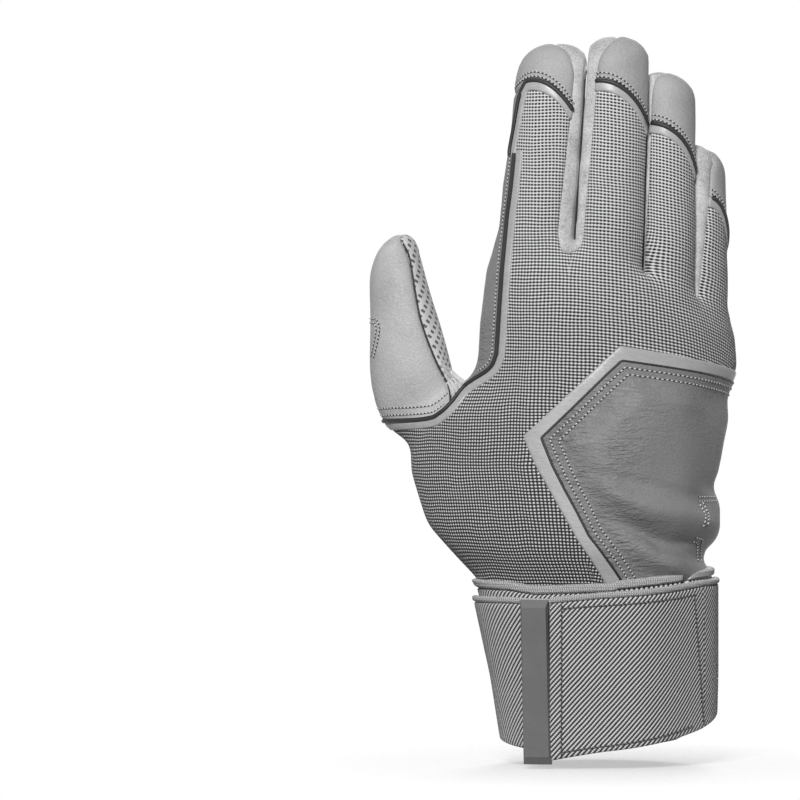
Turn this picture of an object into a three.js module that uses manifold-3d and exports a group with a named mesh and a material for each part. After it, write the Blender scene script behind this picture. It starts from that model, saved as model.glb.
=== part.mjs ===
// Right-hand batting glove: a sewn shell of panels, a padded back and a wrist strap that opens.
// The glove is drawn flat, as its patterns are cut: x across the hand with the thumb at -x,
// y through it with the back at -y, and z up the fingers. Each piece is then bent round the hand,
// in a frame whose origin is the middle of the cuff's mouth.
import * as THREE from 'three';
import { mergeVertices } from 'three/addons/utils/BufferGeometryUtils.js';
import Module from 'manifold-3d';

const wasm = await Module();
wasm.setup();
const { Manifold } = wasm;

// Thicknesses and clearances, in millimetres like every size here
const GAP = 0.3;
const SHELL = 1.0;
const TAPE = 0.8;
const LEATHER = 1.0;
const PAD_FOAM = 2.2;
const STRAP = 2.0;
const PATCH = 1.0;
const TAB_RISE = 0.6;

// Arch of the hand: its crest, how tightly each side turns, and where it begins above the wrist
const ARCH_CENTRE = 18;
const ARCH_RADIAL = 72;
const ARCH_ULNAR = 50;
const ARCH_START = 62;
const ARCH_FULL = 102;
const THUMB_TURN = 0.31;
const LEAST_GRIP = 1e-3;
const CURL = 9;
const CURL_START = 150;
const CURL_SPAN = 100;

// Inner form of the cuff and hand, from the cuff mouth to the finger roots
const HAND = [
  { up: -8, left: -11, right: 52, depth: 20, tilt: 0 },
  { up: 30, left: -17, right: 53, depth: 21, tilt: 0 },
  { up: ARCH_START, left: -24, right: 53, depth: 21, tilt: 0 },
  { up: 82, left: -42, right: 56, depth: 20, tilt: 0 },
  { up: ARCH_FULL, left: -50, right: 61, depth: 18.5, tilt: 0 },
  { up: 120, left: -47, right: 66, depth: 16.5, tilt: 0 },
  { up: 140, left: -27, right: 69.5, depth: 14, tilt: -0.12 },
  { up: 157, left: -19, right: 71, depth: 11.5, tilt: -0.32 },
  { up: 166, left: -16, right: 68, depth: 8.8, tilt: -0.35 },
];
const HAND_SQUARENESS = 0.88;
const HAND_SIDES = 28;

// Inner form of each finger: root and tip on its axis, half widths, half depths and cap length
const FINGERS = {
  index: { root: [-7.5, 132], tip: [-0.5, 246], width: 11.2, tipWidth: 10, depth: 9.8, cap: 16 },
  middle: { root: [17, 130], tip: [22.2, 248.5], width: 10.2, tipWidth: 9.3, depth: 9.6, cap: 18 },
  ring: { root: [39.5, 126], tip: [42.4, 235.5], width: 9.5, tipWidth: 8.7, depth: 9, cap: 18 },
  little: { root: [60, 118], tip: [62, 211], width: 8.9, tipWidth: 7.9, depth: 8.4, cap: 17 },
  thumb: { root: [-44, 95], tip: [-57.5, 180], width: 11, tipWidth: 10, depth: 9.8 },
};
const FINGER_SIDES = 12;
const ROOT_SCALE = 0.4;
const SHAFT_STATIONS = [0.2, 0.45, 0.7];
const DOME_ANGLES = [0, 0.6, 1.05, 1.4];
const DOME_POWER = 0.75;
const CAP_SLANT = 0.4;
const TIP_BAND = 4;

// Seams of the shell
const WRIST = 60;
const SIDE_HALF = 4.6;
const CROTCH = 131;
const CROTCH_X = -31;
const CROTCH_SLOPE = 5;
const WEB_DEPTH = 22;
const TIP_REACH = 20;
const THUMB_HEM = 121;
const LITTLE_SIDE_END = 150;
const GUSSET = { x: -29, z: 124, halfWidth: 4.5, halfHeight: 10 };

// Overlays, as outlines on the flat pattern
const BAND_WIDTH = 4;
const BAND_PATH = [
  [-9.5, 233], [-14.5, 206], [-17.5, 154], [-18.5, 139], [-29, 129], [-36, 120], [-46, 115.5], [-66, 114],
];
const BINDING_BASE = 57.5;
const BINDING_TOP = 65;
const PAD_APEX = [23, 138];
const PAD_POINT = [-4.5, 111];
const PAD_FOOT = 22;
const PAD_BAND_APEX = [23, 143.5];
const PAD_BAND_POINT = [-12, 113];
const PAD_BAND_FOOT = 15;
const PAD_RIGHT = [76, 129];
const PAD_WALL = 1.6;
const PATCH_TOP = [[80, 122], [36, 130], [25, 126]];
const PATCH_WAVE = [[25, 119], [38, 98], [30, 80], [26, 66]];

// Strap, its flap and its closure
const STRAP_TOP = 61;
const STRAP_BINDING = 3;
const STRAP_HEM = [[-110, 12], [-10, 5], [20, 3], [45, 9], [104, 22]];
const CUFF_HEM = [[-110, 8], [20, 0.5], [104, 18]];
const SLIT = { x: 33, width: 3 };
const HINGE_X = 47;
const STRAP_END_X = 22;
const FLAP_RAMP = 22;
const FLAP_END_X = -0.5;
const FLAP_HEM_RISE = 10.5;
const FLAP_TOP_DROP = 4;
const FLAP_BASE = 0.4;
const TAB_WIDTH = 10;
const TAB_HEIGHT = 56.5;
const TAB_BEVEL = 1.5;
const LOOP = { left: -19, right: 20, bottom: 12, top: 55 };
const HOOK = { left: -8.5, right: 17, bottom: 8, top: 53 };

// Levels of the stacked layers above the inner form
const OVER = SHELL + GAP;
const BAND_TOP = OVER + TAPE;
const PATCH_LEVEL = OVER + LEATHER;
const FOAM_TOP = OVER + PAD_FOAM;
const PAD_TOP = FOAM_TOP + GAP + LEATHER;
const STRAP_IN = BAND_TOP + GAP;
const STRAP_OUT = STRAP_IN + STRAP;
const LOOP_IN = STRAP_OUT + GAP;
const FLAP_RISE = STRAP + 2 * PATCH + 3 * GAP;
const FRAME = { left: -110, right: 104, from: -150, to: 32, bottom: -20, top: 280 };
const BLOCK_STEP = 25;
const WALL_STEP = 10;
const CURVE_STEPS = 4;
const OVAL_SIDES = 20;
const DEPTH_STEPS = 12;
const SAME_POINT = 1e-4;
const WELD = 1e-3;
const SHORTEST_EDGE = 0.05;

// Bends a flat point round the arch of the hand and curls the fingers towards the palm
function bend([x, y, z]) {
  const grip = THREE.MathUtils.clamp((z - ARCH_START) / (ARCH_FULL - ARCH_START), LEAST_GRIP, 1);
  const aside = x - ARCH_CENTRE;
  const radius = (aside < 0 ? ARCH_RADIAL : ARCH_ULNAR) / grip;
  const turn = Math.max(aside / radius, -THUMB_TURN * grip);
  const straight = aside - turn * radius;
  const curl = CURL * (Math.max(z - CURL_START, 0) / CURL_SPAN) ** 2;
  return [
    (radius - y) * Math.sin(turn) + straight * Math.cos(turn),
    radius - (radius - y) * Math.cos(turn) + straight * Math.sin(turn) + curl,
    z,
  ];
}

// Solids from closed flat meshes, bent as they are made
function solidFrom(flat, triangles) {
  const positions = [];
  for (let i = 0; i < flat.length; i += 3) {
    positions.push(...bend([flat[i], flat[i + 1], flat[i + 2]]));
  }
  const mesh = new wasm.Mesh({
    numProp: 3,
    vertProperties: new Float32Array(positions),
    triVerts: new Uint32Array(triangles),
  });
  return new Manifold(mesh);
}

function solidFromGeometry(geometry) {
  const bare = geometry.clone();
  bare.deleteAttribute('normal');
  bare.deleteAttribute('uv');
  const merged = mergeVertices(bare, SAME_POINT);
  return solidFrom(merged.attributes.position.array, merged.index.array);
}

// A closed loft through rings that all have the same number of points, listed from the bottom up
function loft(rings) {
  const count = rings[0].length;
  const positions = rings.flat(2);
  const triangles = [];
  for (let i = 0; i + 1 < rings.length; i++) {
    for (let j = 0; j < count; j++) {
      const a = i * count + j;
      const b = i * count + ((j + 1) % count);
      triangles.push(a, b, a + count, b, b + count, a + count);
    }
  }
  // Each end is closed by strips from its back half to its palm half, which bend with the arch
  const top = (rings.length - 1) * count;
  for (let j = 0; j < count / 2; j++) {
    const strip = [j, j + 1, count - j - 1, (count - j) % count];
    for (const [a, b, c] of [[0, 1, 2], [0, 2, 3]]) {
      const corners = [strip[a], strip[b], strip[c]];
      if (new Set(corners).size < 3) continue;
      triangles.push(corners[2], corners[1], corners[0]);
      triangles.push(...corners.map((corner) => top + corner));
    }
  }
  return solidFrom(positions, triangles);
}

const power = (value, exponent) => Math.sign(value) * Math.abs(value) ** exponent;
const lerp = THREE.MathUtils.lerp;
const smooth = THREE.MathUtils.smoothstep;

// One ring of the hand form, grown outward by an offset that may change across the hand
function handRing(section, offsetAt) {
  const centre = (section.left + section.right) / 2;
  const half = (section.right - section.left) / 2;
  const ring = [];
  for (let j = 0; j < HAND_SIDES; j++) {
    const angle = (2 * Math.PI * j) / HAND_SIDES;
    const across = power(Math.cos(angle), HAND_SQUARENESS);
    const through = power(Math.sin(angle), HAND_SQUARENESS);
    const offset = offsetAt(centre + half * across);
    const x = centre + (half + offset) * across;
    ring.push([x, (section.depth + offset) * through, section.up + section.tilt * (x - centre)]);
  }
  return ring;
}

function handLoft(sections, offsetAt) {
  const rings = sections.map((section) => handRing(section, offsetAt));
  const last = rings.at(-1);
  const lift = offsetAt(0);
  last.forEach((point) => { point[2] += lift; });
  return loft(rings);
}

// Places along a finger: distance from its root, sideways offset and the flat point there
function fingerAxis(finger) {
  const [rootX, rootZ] = finger.root;
  const [tipX, tipZ] = finger.tip;
  const length = Math.hypot(tipX - rootX, tipZ - rootZ);
  const along = [(tipX - rootX) / length, (tipZ - rootZ) / length];
  const at = (distance, aside) => [
    rootX + along[0] * distance + along[1] * aside,
    rootZ + along[1] * distance - along[0] * aside,
  ];
  return { length, at };
}

// A finger: a tapering oval tube with a domed tip
function fingerLoft(finger, offset) {
  const { length, at } = fingerAxis(finger);
  const domeStart = length - finger.tipWidth;
  const stations = [[0, ROOT_SCALE], ...SHAFT_STATIONS.map((share) => [domeStart * share, 1])];
  for (const angle of DOME_ANGLES) {
    const reach = domeStart + (finger.tipWidth + offset) * Math.sin(angle);
    stations.push([reach, Math.cos(angle) ** DOME_POWER]);
  }
  const rings = stations.map(([distance, scale]) => {
    const taper = Math.min(distance / domeStart, 1);
    const halfWidth = (lerp(finger.width, finger.tipWidth, taper) + offset) * scale;
    const halfDepth = (finger.depth * lerp(1, finger.tipWidth / finger.width, taper) + offset) * scale;
    const ring = [];
    for (let j = 0; j < FINGER_SIDES; j++) {
      const angle = (2 * Math.PI * j) / FINGER_SIDES;
      const [x, z] = at(distance, halfWidth * Math.cos(angle));
      ring.push([x, halfDepth * Math.sin(angle), z]);
    }
    return ring;
  });
  return loft(rings);
}

// The whole hand at an offset from its inner form, and the layer between two offsets
const forms = new Map();
function handForm(offset) {
  if (!forms.has(offset)) {
    const parts = Object.values(FINGERS).map((finger) => fingerLoft(finger, offset));
    forms.set(offset, Manifold.union([handLoft(HAND, () => offset), ...parts]));
  }
  return forms.get(offset);
}
const layer = (inner, outer) => handForm(outer).subtract(handForm(inner));

// The cuff alone, and the flap's path over the closure under it
const CUFF = HAND.slice(0, 4);
function cuffLayer(inner, outer) {
  return handLoft(CUFF, () => outer).subtract(handLoft(CUFF, () => inner));
}
const flapRise = (x) => FLAP_RISE * smooth(HINGE_X - x, 0, FLAP_RAMP);
function flapLayer(inner, outer) {
  const outside = handLoft(CUFF, (x) => outer + flapRise(x));
  return outside.subtract(handLoft(CUFF, (x) => inner + flapRise(x)));
}

// A region: a flat outline carried right through the hand, with walls fine enough to bend
function finely(points) {
  return points.flatMap((point, i) => {
    const next = points[(i + 1) % points.length];
    const steps = Math.ceil(Math.hypot(next[0] - point[0], next[1] - point[1]) / WALL_STEP);
    return Array.from({ length: steps }, (_, k) => [
      lerp(point[0], next[0], k / steps), lerp(point[1], next[1], k / steps),
    ]);
  });
}

function region(points) {
  const shape = new THREE.Shape(finely(points).map(([x, z]) => new THREE.Vector2(x, z)));
  const geometry = new THREE.ExtrudeGeometry(shape, {
    depth: FRAME.to - FRAME.from, steps: DEPTH_STEPS, bevelEnabled: false,
  });
  geometry.rotateX(Math.PI / 2);
  geometry.translate(0, FRAME.to, 0);
  return solidFromGeometry(geometry);
}

// A block of the hand: the flat frame, cut down on any of its sides
function block(limits) {
  const { left, right, from, to, bottom, top } = { ...FRAME, ...limits };
  const steps = (length) => Math.ceil(length / BLOCK_STEP);
  const width = right - left;
  const height = top - bottom;
  const geometry = new THREE.BoxGeometry(width, to - from, height, steps(width), 1, steps(height));
  geometry.translate(left + width / 2, (from + to) / 2, bottom + height / 2);
  return solidFromGeometry(geometry);
}
const backSide = (depth) => block({ to: -depth });
const palmSide = (depth) => block({}).subtract(backSide(-depth));

// An outline moved outward by a distance along its corner bisectors
function grow(points, distance) {
  const turn = THREE.ShapeUtils.area(points.map(([x, y]) => new THREE.Vector2(x, y))) > 0 ? 1 : -1;
  return points.map((point, i) => {
    const before = points.at(i - 1);
    const after = points[(i + 1) % points.length];
    const normals = [[before, point], [point, after]].map(([p, q]) => {
      const side = Math.hypot(q[0] - p[0], q[1] - p[1]);
      return [(turn * (q[1] - p[1])) / side, (-turn * (q[0] - p[0])) / side];
    });
    const sum = [normals[0][0] + normals[1][0], normals[0][1] + normals[1][1]];
    const reach = (2 * distance) / (sum[0] ** 2 + sum[1] ** 2);
    return [point[0] + sum[0] * reach, point[1] + sum[1] * reach];
  });
}

// A strip of constant width along a smooth path
function strip(path, width) {
  const curve = new THREE.SplineCurve(path.map(([x, z]) => new THREE.Vector2(x, z)));
  const steps = CURVE_STEPS * path.length;
  const sides = [[], []];
  for (let i = 0; i <= steps; i++) {
    const point = curve.getPoint(i / steps);
    const tangent = curve.getTangent(i / steps);
    sides[0].push([point.x - (tangent.y * width) / 2, point.y + (tangent.x * width) / 2]);
    sides[1].unshift([point.x + (tangent.y * width) / 2, point.y - (tangent.x * width) / 2]);
  }
  return [...sides[0], ...sides[1]];
}

function smoothLine(points) {
  const curve = new THREE.SplineCurve(points.map(([x, z]) => new THREE.Vector2(x, z)));
  return curve.getPoints(CURVE_STEPS * points.length).map((point) => [point.x, point.y]);
}

function oval({ x, z, halfWidth, halfHeight }) {
  return Array.from({ length: OVAL_SIDES }, (_, i) => {
    const angle = (2 * Math.PI * i) / OVAL_SIDES;
    return [x + halfWidth * Math.cos(angle), z + halfHeight * Math.sin(angle)];
  });
}

const bevelled = ({ left, right, bottom, top }, bevel) => [
  [left + bevel, bottom], [right - bevel, bottom], [right, bottom + bevel], [right, top - bevel],
  [right - bevel, top], [left + bevel, top], [left, top - bevel], [left, bottom + bevel],
];

// The largest body of a cut, without the slivers at its corners or edges too short to matter
function mainBody(solid) {
  const [largest] = solid.decompose().sort((a, b) => b.volume() - a.volume());
  return largest.asOriginal().simplify(SHORTEST_EDGE);
}

// A mesh with its shortest edges closed up, and without folds that have no thickness
function tidied(geometry) {
  const merged = mergeVertices(geometry, WELD);
  const positions = merged.attributes.position;
  const triangles = merged.index.array;
  const target = Array.from({ length: positions.count }, (_, i) => i);
  const follow = (i) => (target[i] === i ? i : follow(target[i]));
  const point = (i) => new THREE.Vector3().fromBufferAttribute(positions, i);
  for (let i = 0; i < triangles.length; i++) {
    const a = follow(triangles[i]);
    const b = follow(triangles[i % 3 === 2 ? i - 2 : i + 1]);
    if (a !== b && point(a).distanceTo(point(b)) < SHORTEST_EDGE) target[Math.max(a, b)] = Math.min(a, b);
  }
  const kept = new Map();
  for (let i = 0; i < triangles.length; i += 3) {
    const corners = [0, 1, 2].map((k) => follow(triangles[i + k]));
    const key = [...corners].sort((p, q) => p - q).join();
    if (new Set(corners).size < 3) continue;
    if (!kept.delete(key)) kept.set(key, corners);
  }
  merged.setIndex([...kept.values()].flat());
  return merged;
}

const glove = new THREE.Group();
glove.name = 'batting_glove';

function addPiece(name, solid, finish) {
  const { vertProperties, triVerts } = mainBody(solid).getMesh();
  const cut = new THREE.BufferGeometry();
  cut.setAttribute('position', new THREE.BufferAttribute(new Float32Array(vertProperties), 3));
  cut.setIndex(new THREE.BufferAttribute(new Uint32Array(triVerts), 1));
  const geometry = tidied(cut);
  geometry.computeVertexNormals();
  const mesh = new THREE.Mesh(geometry, new THREE.MeshStandardMaterial({ ...finish, metalness: 0 }));
  mesh.name = name;
  glove.add(mesh);
}

// Finishes of the materials
const FABRIC = { color: 0x969696, roughness: 0.85 };
const CAP_LEATHER = { color: 0x9b9b9b, roughness: 0.5 };
const THUMB_LEATHER = { color: 0xaaaaaa, roughness: 0.45 };
const DARK_LEATHER = { color: 0x767676, roughness: 0.5 };
const PALM_LEATHER = { color: 0xcfcfcf, roughness: 0.6 };
const SUEDE = { color: 0x8c8c8c, roughness: 0.85 };
const GLOSS_TAPE = { color: 0xc4c4c4, roughness: 0.3 };
const BINDING_TAPE = { color: 0xc4c4c4, roughness: 0.6 };
const TWILL = { color: 0x808080, roughness: 0.9 };
const LOOPS = { color: 0x6c6c6c, roughness: 0.95 };
const HOOKS = { color: 0x5a5a5a, roughness: 0.8 };
const FOAM = { color: 0x505050, roughness: 0.95 };
const TAB_RUBBER = { color: 0x707070, roughness: 0.5 };

// The sewn shell, the tape layer over it, and the parts of the hand that divide them
const shell = layer(0, SHELL).intersect(block({ bottom: WRIST + GAP / 2 }));
const tapeLayer = layer(OVER, BAND_TOP);
const wholeBack = backSide(GAP);
const wholePalm = palmSide(GAP);
const fingerBacks = backSide(SIDE_HALF + GAP);
const fingerSides = block({ from: -SIDE_HALF, to: SIDE_HALF });
const sideClearance = block({ from: -SIDE_HALF - GAP, to: SIDE_HALF + GAP });
const { index, middle, ring, little } = FINGERS;

// Side strips of the fingers: the fourchettes, and the outer sides of the index and little fingers
function betweenFingers(first, second) {
  const a = fingerAxis(first);
  const b = fingerAxis(second);
  return [
    a.at(WEB_DEPTH, GAP / 2), b.at(WEB_DEPTH, -GAP / 2),
    b.at(b.length + TIP_REACH, -GAP / 2), a.at(a.length + TIP_REACH, GAP / 2),
  ];
}
const indexAxis = fingerAxis(index);
const littleAxis = fingerAxis(little);
const sidePieces = [
  ['fourchette_index_middle', betweenFingers(index, middle), SUEDE],
  ['fourchette_middle_ring', betweenFingers(middle, ring), SUEDE],
  ['fourchette_ring_little', betweenFingers(ring, little), SUEDE],
  ['index_side_panel', [
    [CROTCH_X, CROTCH], [index.root[0], CROTCH], indexAxis.at(indexAxis.length + TIP_REACH, -GAP / 2),
    [CROTCH_X, FRAME.top],
  ], DARK_LEATHER],
  ['little_side_panel', [
    [little.root[0], LITTLE_SIDE_END], [FRAME.right, LITTLE_SIDE_END], [FRAME.right, FRAME.top],
    littleAxis.at(littleAxis.length + TIP_REACH, GAP / 2),
  ], SUEDE],
];
const sideCuts = [];
for (const [name, outline, finish] of sidePieces) {
  addPiece(name, shell.intersect(region(outline)).intersect(fingerSides), finish);
  sideCuts.push(region(grow(outline, GAP)).intersect(sideClearance));
}

// Leather caps over the fingertips, each with a slanted lower edge, and the bands under them
function acrossFinger(finger, low, high) {
  const { length, at } = fingerAxis(finger);
  const half = finger.width + BAND_TOP + GAP;
  const edge = (distance, aside) => at(length - distance - CAP_SLANT * aside, aside);
  return [edge(low, -half), edge(low, half), edge(high, half), edge(high, -half)];
}
const tipBand = (finger) => acrossFinger(finger, finger.cap + GAP + TIP_BAND, finger.cap + GAP);
const backCuts = [...sideCuts];
for (const [name, finger] of Object.entries({ index, middle, ring, little })) {
  const outline = acrossFinger(finger, finger.cap, -TIP_REACH);
  addPiece(`${name}_tip_cap`, shell.intersect(region(outline)).intersect(fingerBacks), CAP_LEATHER);
  backCuts.push(region(grow(outline, GAP)).intersect(wholeBack));
  if (finger === index) continue;
  const band = tapeLayer.intersect(region(tipBand(finger))).intersect(fingerBacks);
  addPiece(`${name}_tip_band`, band, GLOSS_TAPE);
}

// Thumb: its back panel, and the gusset in its crotch
const thumbOutline = [
  [FRAME.left, THUMB_HEM], [CROTCH_X - CROTCH_SLOPE, THUMB_HEM], [CROTCH_X, CROTCH], [CROTCH_X, FRAME.top],
  [FRAME.left, FRAME.top],
];
addPiece('thumb_back_panel', shell.intersect(region(thumbOutline)).intersect(wholeBack), THUMB_LEATHER);
backCuts.push(region(grow(thumbOutline, GAP)).intersect(backSide(-GAP / 2)));
const gussetOutline = oval(GUSSET);
addPiece('thumb_gusset', shell.intersect(region(gussetOutline)).intersect(wholePalm), SUEDE);
const palmCuts = [...sideCuts, region(grow(gussetOutline, GAP)).intersect(wholePalm)];

// The two main panels
const without = (solid, cuts) => cuts.reduce((rest, cut) => rest.subtract(cut), solid);
addPiece('back_panel', without(shell.intersect(wholeBack), backCuts), FABRIC);
addPiece('palm_panel', without(shell.intersect(wholePalm), palmCuts), PALM_LEATHER);

// Side band: from under the index cap, down the thumb side and along the thumb hem
const indexBand = region(tipBand(index)).intersect(fingerBacks);
const sideBand = region(strip(BAND_PATH, BAND_WIDTH)).intersect(wholeBack).add(indexBand);
addPiece('side_band', tapeLayer.intersect(sideBand), GLOSS_TAPE);

// Back pad: a leather cover over foam, and the band round its free edges
const padBase = BINDING_TOP + GAP;
const padOutline = [PAD_APEX, PAD_POINT, [PAD_FOOT, padBase], [PAD_RIGHT[0], padBase], PAD_RIGHT];
const padInside = grow(padOutline, -PAD_WALL);
const bandOutline = [
  PAD_BAND_APEX, PAD_BAND_POINT, [PAD_BAND_FOOT, padBase], [PAD_RIGHT[0], padBase],
  [PAD_RIGHT[0], PAD_RIGHT[1] + BAND_WIDTH],
];
const padHollow = handForm(FOAM_TOP + GAP).intersect(region(padInside)).intersect(backSide(PAD_WALL));
const padSolid = layer(OVER, PAD_TOP).intersect(region(padOutline)).intersect(wholeBack);
addPiece('back_pad', padSolid.subtract(padHollow), DARK_LEATHER);
const foamRegion = region(grow(padInside, -GAP)).intersect(backSide(PAD_WALL + GAP));
addPiece('back_pad_foam', layer(OVER, FOAM_TOP).intersect(foamRegion), FOAM);
const padBand = region(bandOutline).subtract(region(grow(padOutline, GAP))).intersect(wholeBack);
addPiece('back_pad_band', tapeLayer.intersect(padBand), GLOSS_TAPE);

// Heel patch on the palm
const patchEdge = smoothLine([...PATCH_TOP.slice(1), ...PATCH_WAVE]);
const patchFoot = [[PATCH_WAVE.at(-1)[0], padBase], [PATCH_TOP[0][0], padBase]];
const patchOutline = [PATCH_TOP[0], ...patchEdge, ...patchFoot];
const patchLayer = layer(OVER, PATCH_LEVEL).intersect(wholePalm);
addPiece('heel_patch', patchLayer.intersect(region(patchOutline)), DARK_LEATHER);

// Inner cuff with its opening slit, and the tape over its seam to the hand
const backHalf = backSide(0);
const below = (hem, top) => region([...hem, [FRAME.right, top], [FRAME.left, top]]);
const slit = block({ left: SLIT.x, right: SLIT.x + SLIT.width, to: 0 });
const cuffSleeve = cuffLayer(0, SHELL).intersect(below(CUFF_HEM, WRIST - GAP / 2));
addPiece('inner_cuff', cuffSleeve.subtract(slit), TWILL);
const bindingRing = cuffLayer(OVER, BAND_TOP).intersect(block({ bottom: BINDING_BASE, top: BINDING_TOP }));
addPiece('wrist_binding', bindingRing, BINDING_TAPE);

// Wrap strap: fixed round the thumb side, palm and outer side, open on the back under the flap
const strapBreak = block({ left: STRAP_END_X, right: HINGE_X + GAP / 2, to: 0 });
const strapRing = cuffLayer(STRAP_IN, STRAP_OUT).subtract(strapBreak);
const bindingLine = STRAP_TOP - STRAP_BINDING;
addPiece('wrap_strap', strapRing.intersect(below(STRAP_HEM, bindingLine)), TWILL);
const strapEdge = block({ bottom: bindingLine + GAP, top: STRAP_TOP });
addPiece('strap_binding', strapRing.intersect(strapEdge), BINDING_TAPE);
const loopLayer = cuffLayer(LOOP_IN, LOOP_IN + PATCH);
addPiece('loop_patch', loopLayer.intersect(block({ ...LOOP, to: 0 })), LOOPS);

// Flap: folds back at the hinge line, and carries the pull tab and the hook patch
const flapSheet = flapLayer(STRAP_IN, STRAP_OUT).intersect(backHalf);
const flapRight = HINGE_X - GAP / 2;
const flapLine = (low) => [[FLAP_END_X, STRAP_TOP - FLAP_TOP_DROP - low], [flapRight, STRAP_TOP - low]];
const flapHem = [[FLAP_END_X, FLAP_BASE], [flapRight, FLAP_BASE + FLAP_HEM_RISE]];
const flapBody = region([...flapHem, ...flapLine(STRAP_BINDING).reverse()]);
const flapEdge = region([...flapLine(STRAP_BINDING - GAP), ...flapLine(0).reverse()]);
addPiece('strap_flap', flapSheet.intersect(flapBody), TWILL);
addPiece('flap_binding', flapSheet.intersect(flapEdge), BINDING_TAPE);
const hookTop = STRAP_IN - GAP;
const hookLayer = flapLayer(hookTop - PATCH, hookTop);
addPiece('hook_patch', hookLayer.intersect(block({ ...HOOK, to: 0 })), HOOKS);
const tabRight = FLAP_END_X - GAP;
const tabBox = { left: tabRight - TAB_WIDTH, right: tabRight, bottom: 0, top: TAB_HEIGHT };
const tabSheet = flapLayer(STRAP_IN, STRAP_OUT + TAB_RISE).intersect(backHalf);
addPiece('pull_tab', tabSheet.intersect(region(bevelled(tabBox, TAB_BEVEL))), TAB_RUBBER);

export default glove;
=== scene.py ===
# Right-hand batting glove, dressed over its CAD frame.
# Shapes are drawn flat in millimetres, as the patterns are cut: x across the hand with the thumb at -x,
# y through it with the back at -y, z up the fingers. bend() turns them into the frame, in metres.
import math
from typing import NamedTuple

import bpy
import numpy as np
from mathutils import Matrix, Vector, noise
from mathutils.bvhtree import BVHTree
from mathutils.kdtree import KDTree


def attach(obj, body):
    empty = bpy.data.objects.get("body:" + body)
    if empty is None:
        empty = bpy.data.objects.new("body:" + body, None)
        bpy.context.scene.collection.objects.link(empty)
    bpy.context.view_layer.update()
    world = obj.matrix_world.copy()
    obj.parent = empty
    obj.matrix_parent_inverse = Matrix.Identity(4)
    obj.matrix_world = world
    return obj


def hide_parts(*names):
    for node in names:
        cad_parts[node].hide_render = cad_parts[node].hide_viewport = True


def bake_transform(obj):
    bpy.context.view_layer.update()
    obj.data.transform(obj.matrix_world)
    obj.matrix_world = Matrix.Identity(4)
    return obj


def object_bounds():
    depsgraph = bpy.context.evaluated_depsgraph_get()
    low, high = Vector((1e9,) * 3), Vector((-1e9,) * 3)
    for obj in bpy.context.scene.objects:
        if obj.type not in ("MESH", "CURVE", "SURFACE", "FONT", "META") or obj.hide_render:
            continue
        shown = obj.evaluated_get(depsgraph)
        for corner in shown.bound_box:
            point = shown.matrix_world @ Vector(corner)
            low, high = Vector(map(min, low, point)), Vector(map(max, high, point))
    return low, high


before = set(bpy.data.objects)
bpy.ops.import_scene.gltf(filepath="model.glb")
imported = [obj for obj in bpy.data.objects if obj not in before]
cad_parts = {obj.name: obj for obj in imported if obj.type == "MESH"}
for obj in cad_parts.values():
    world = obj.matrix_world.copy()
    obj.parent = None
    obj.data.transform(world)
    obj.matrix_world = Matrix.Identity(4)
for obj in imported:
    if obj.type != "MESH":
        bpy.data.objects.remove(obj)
cad_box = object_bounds()
GLOVE, FLAP = "glove", "flap"
MM = 0.001

# Arch of the hand and curl of the fingers, as in the CAD frame
ARCH_CENTRE, ARCH_RADIAL, ARCH_ULNAR = 18.0, 72.0, 50.0
ARCH_START, ARCH_FULL, THUMB_TURN, LEAST_GRIP = 62.0, 102.0, 0.31, 1e-3
CURL, CURL_START, CURL_SPAN = 9.0, 150.0, 100.0

# Sections of the hand: height, left and right edges, half depth and slope of the section
HAND = np.array([
    (-8, -11, 52, 20, 0), (30, -17, 53, 21, 0), (62, -24, 53, 21, 0), (82, -42, 54, 20, 0),
    (102, -50, 57.5, 18.5, 0), (120, -47, 62.5, 16.5, 0), (127, -34.5, 65, 15.7, -0.02),
    (133, -26.5, 67, 15, -0.06), (140, -24.4, 69, 14, -0.12), (158, -21.8, 70, 11.5, -0.4),
    (169, -14, 66, 8.8, -0.45),
], float)
HAND_FOOT, HAND_TOP = HAND[0, 0], HAND[-1, 0]
HAND_SQUARENESS, TILT_FROM, TOP_ROUND, SHELL = 0.88, -2.0, 4, 1.0
SECTION_STEP, SECTION_SPARE, SECTION_BLUR = 1.0, 20, 4


class Finger(NamedTuple):
    """Ends of a finger's axis, half widths there, half depth, slope of the tip across it, and the lower
    edge of its cap: length at the highest place, that place across it, and how fast the edge falls."""
    root: tuple
    tip: tuple
    width: float
    tip_width: float
    depth: float
    slant: float = 0.0
    cap: tuple = ()

    @property
    def length(self):
        return math.dist(self.root, self.tip)

    @property
    def along(self):
        return (np.array(self.tip) - self.root) / self.length

    def width_at(self, share):
        return self.width + (self.tip_width - self.width) * np.clip(share, 0, 1) + SHELL


FINGERS = {
    "index": Finger((-10.1, 132), (1.3, 247.6), 14.6, 11.5, 9.8, -0.16, (12.6, -3.5, 0.063)),
    "middle": Finger((16.7, 130), (23.0, 249.9), 12.1, 10.3, 9.6, 0.0, (15.2, -5, 0.06)),
    "ring": Finger((39.2, 126), (41.9, 237.2), 9.0, 8.2, 9.0, 0.3, (16.7, -9, 0.065)),
    "little": Finger((55.8, 118), (55.7, 211.8), 9.2, 8.0, 8.4, 0.42, (16.4, -4, 0.12)),
    "thumb": Finger((-45, 95), (-58.4, 182.4), 20, 7.9, 9.8),
}
LONG_FINGERS = ["index", "middle", "ring", "little"]


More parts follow.
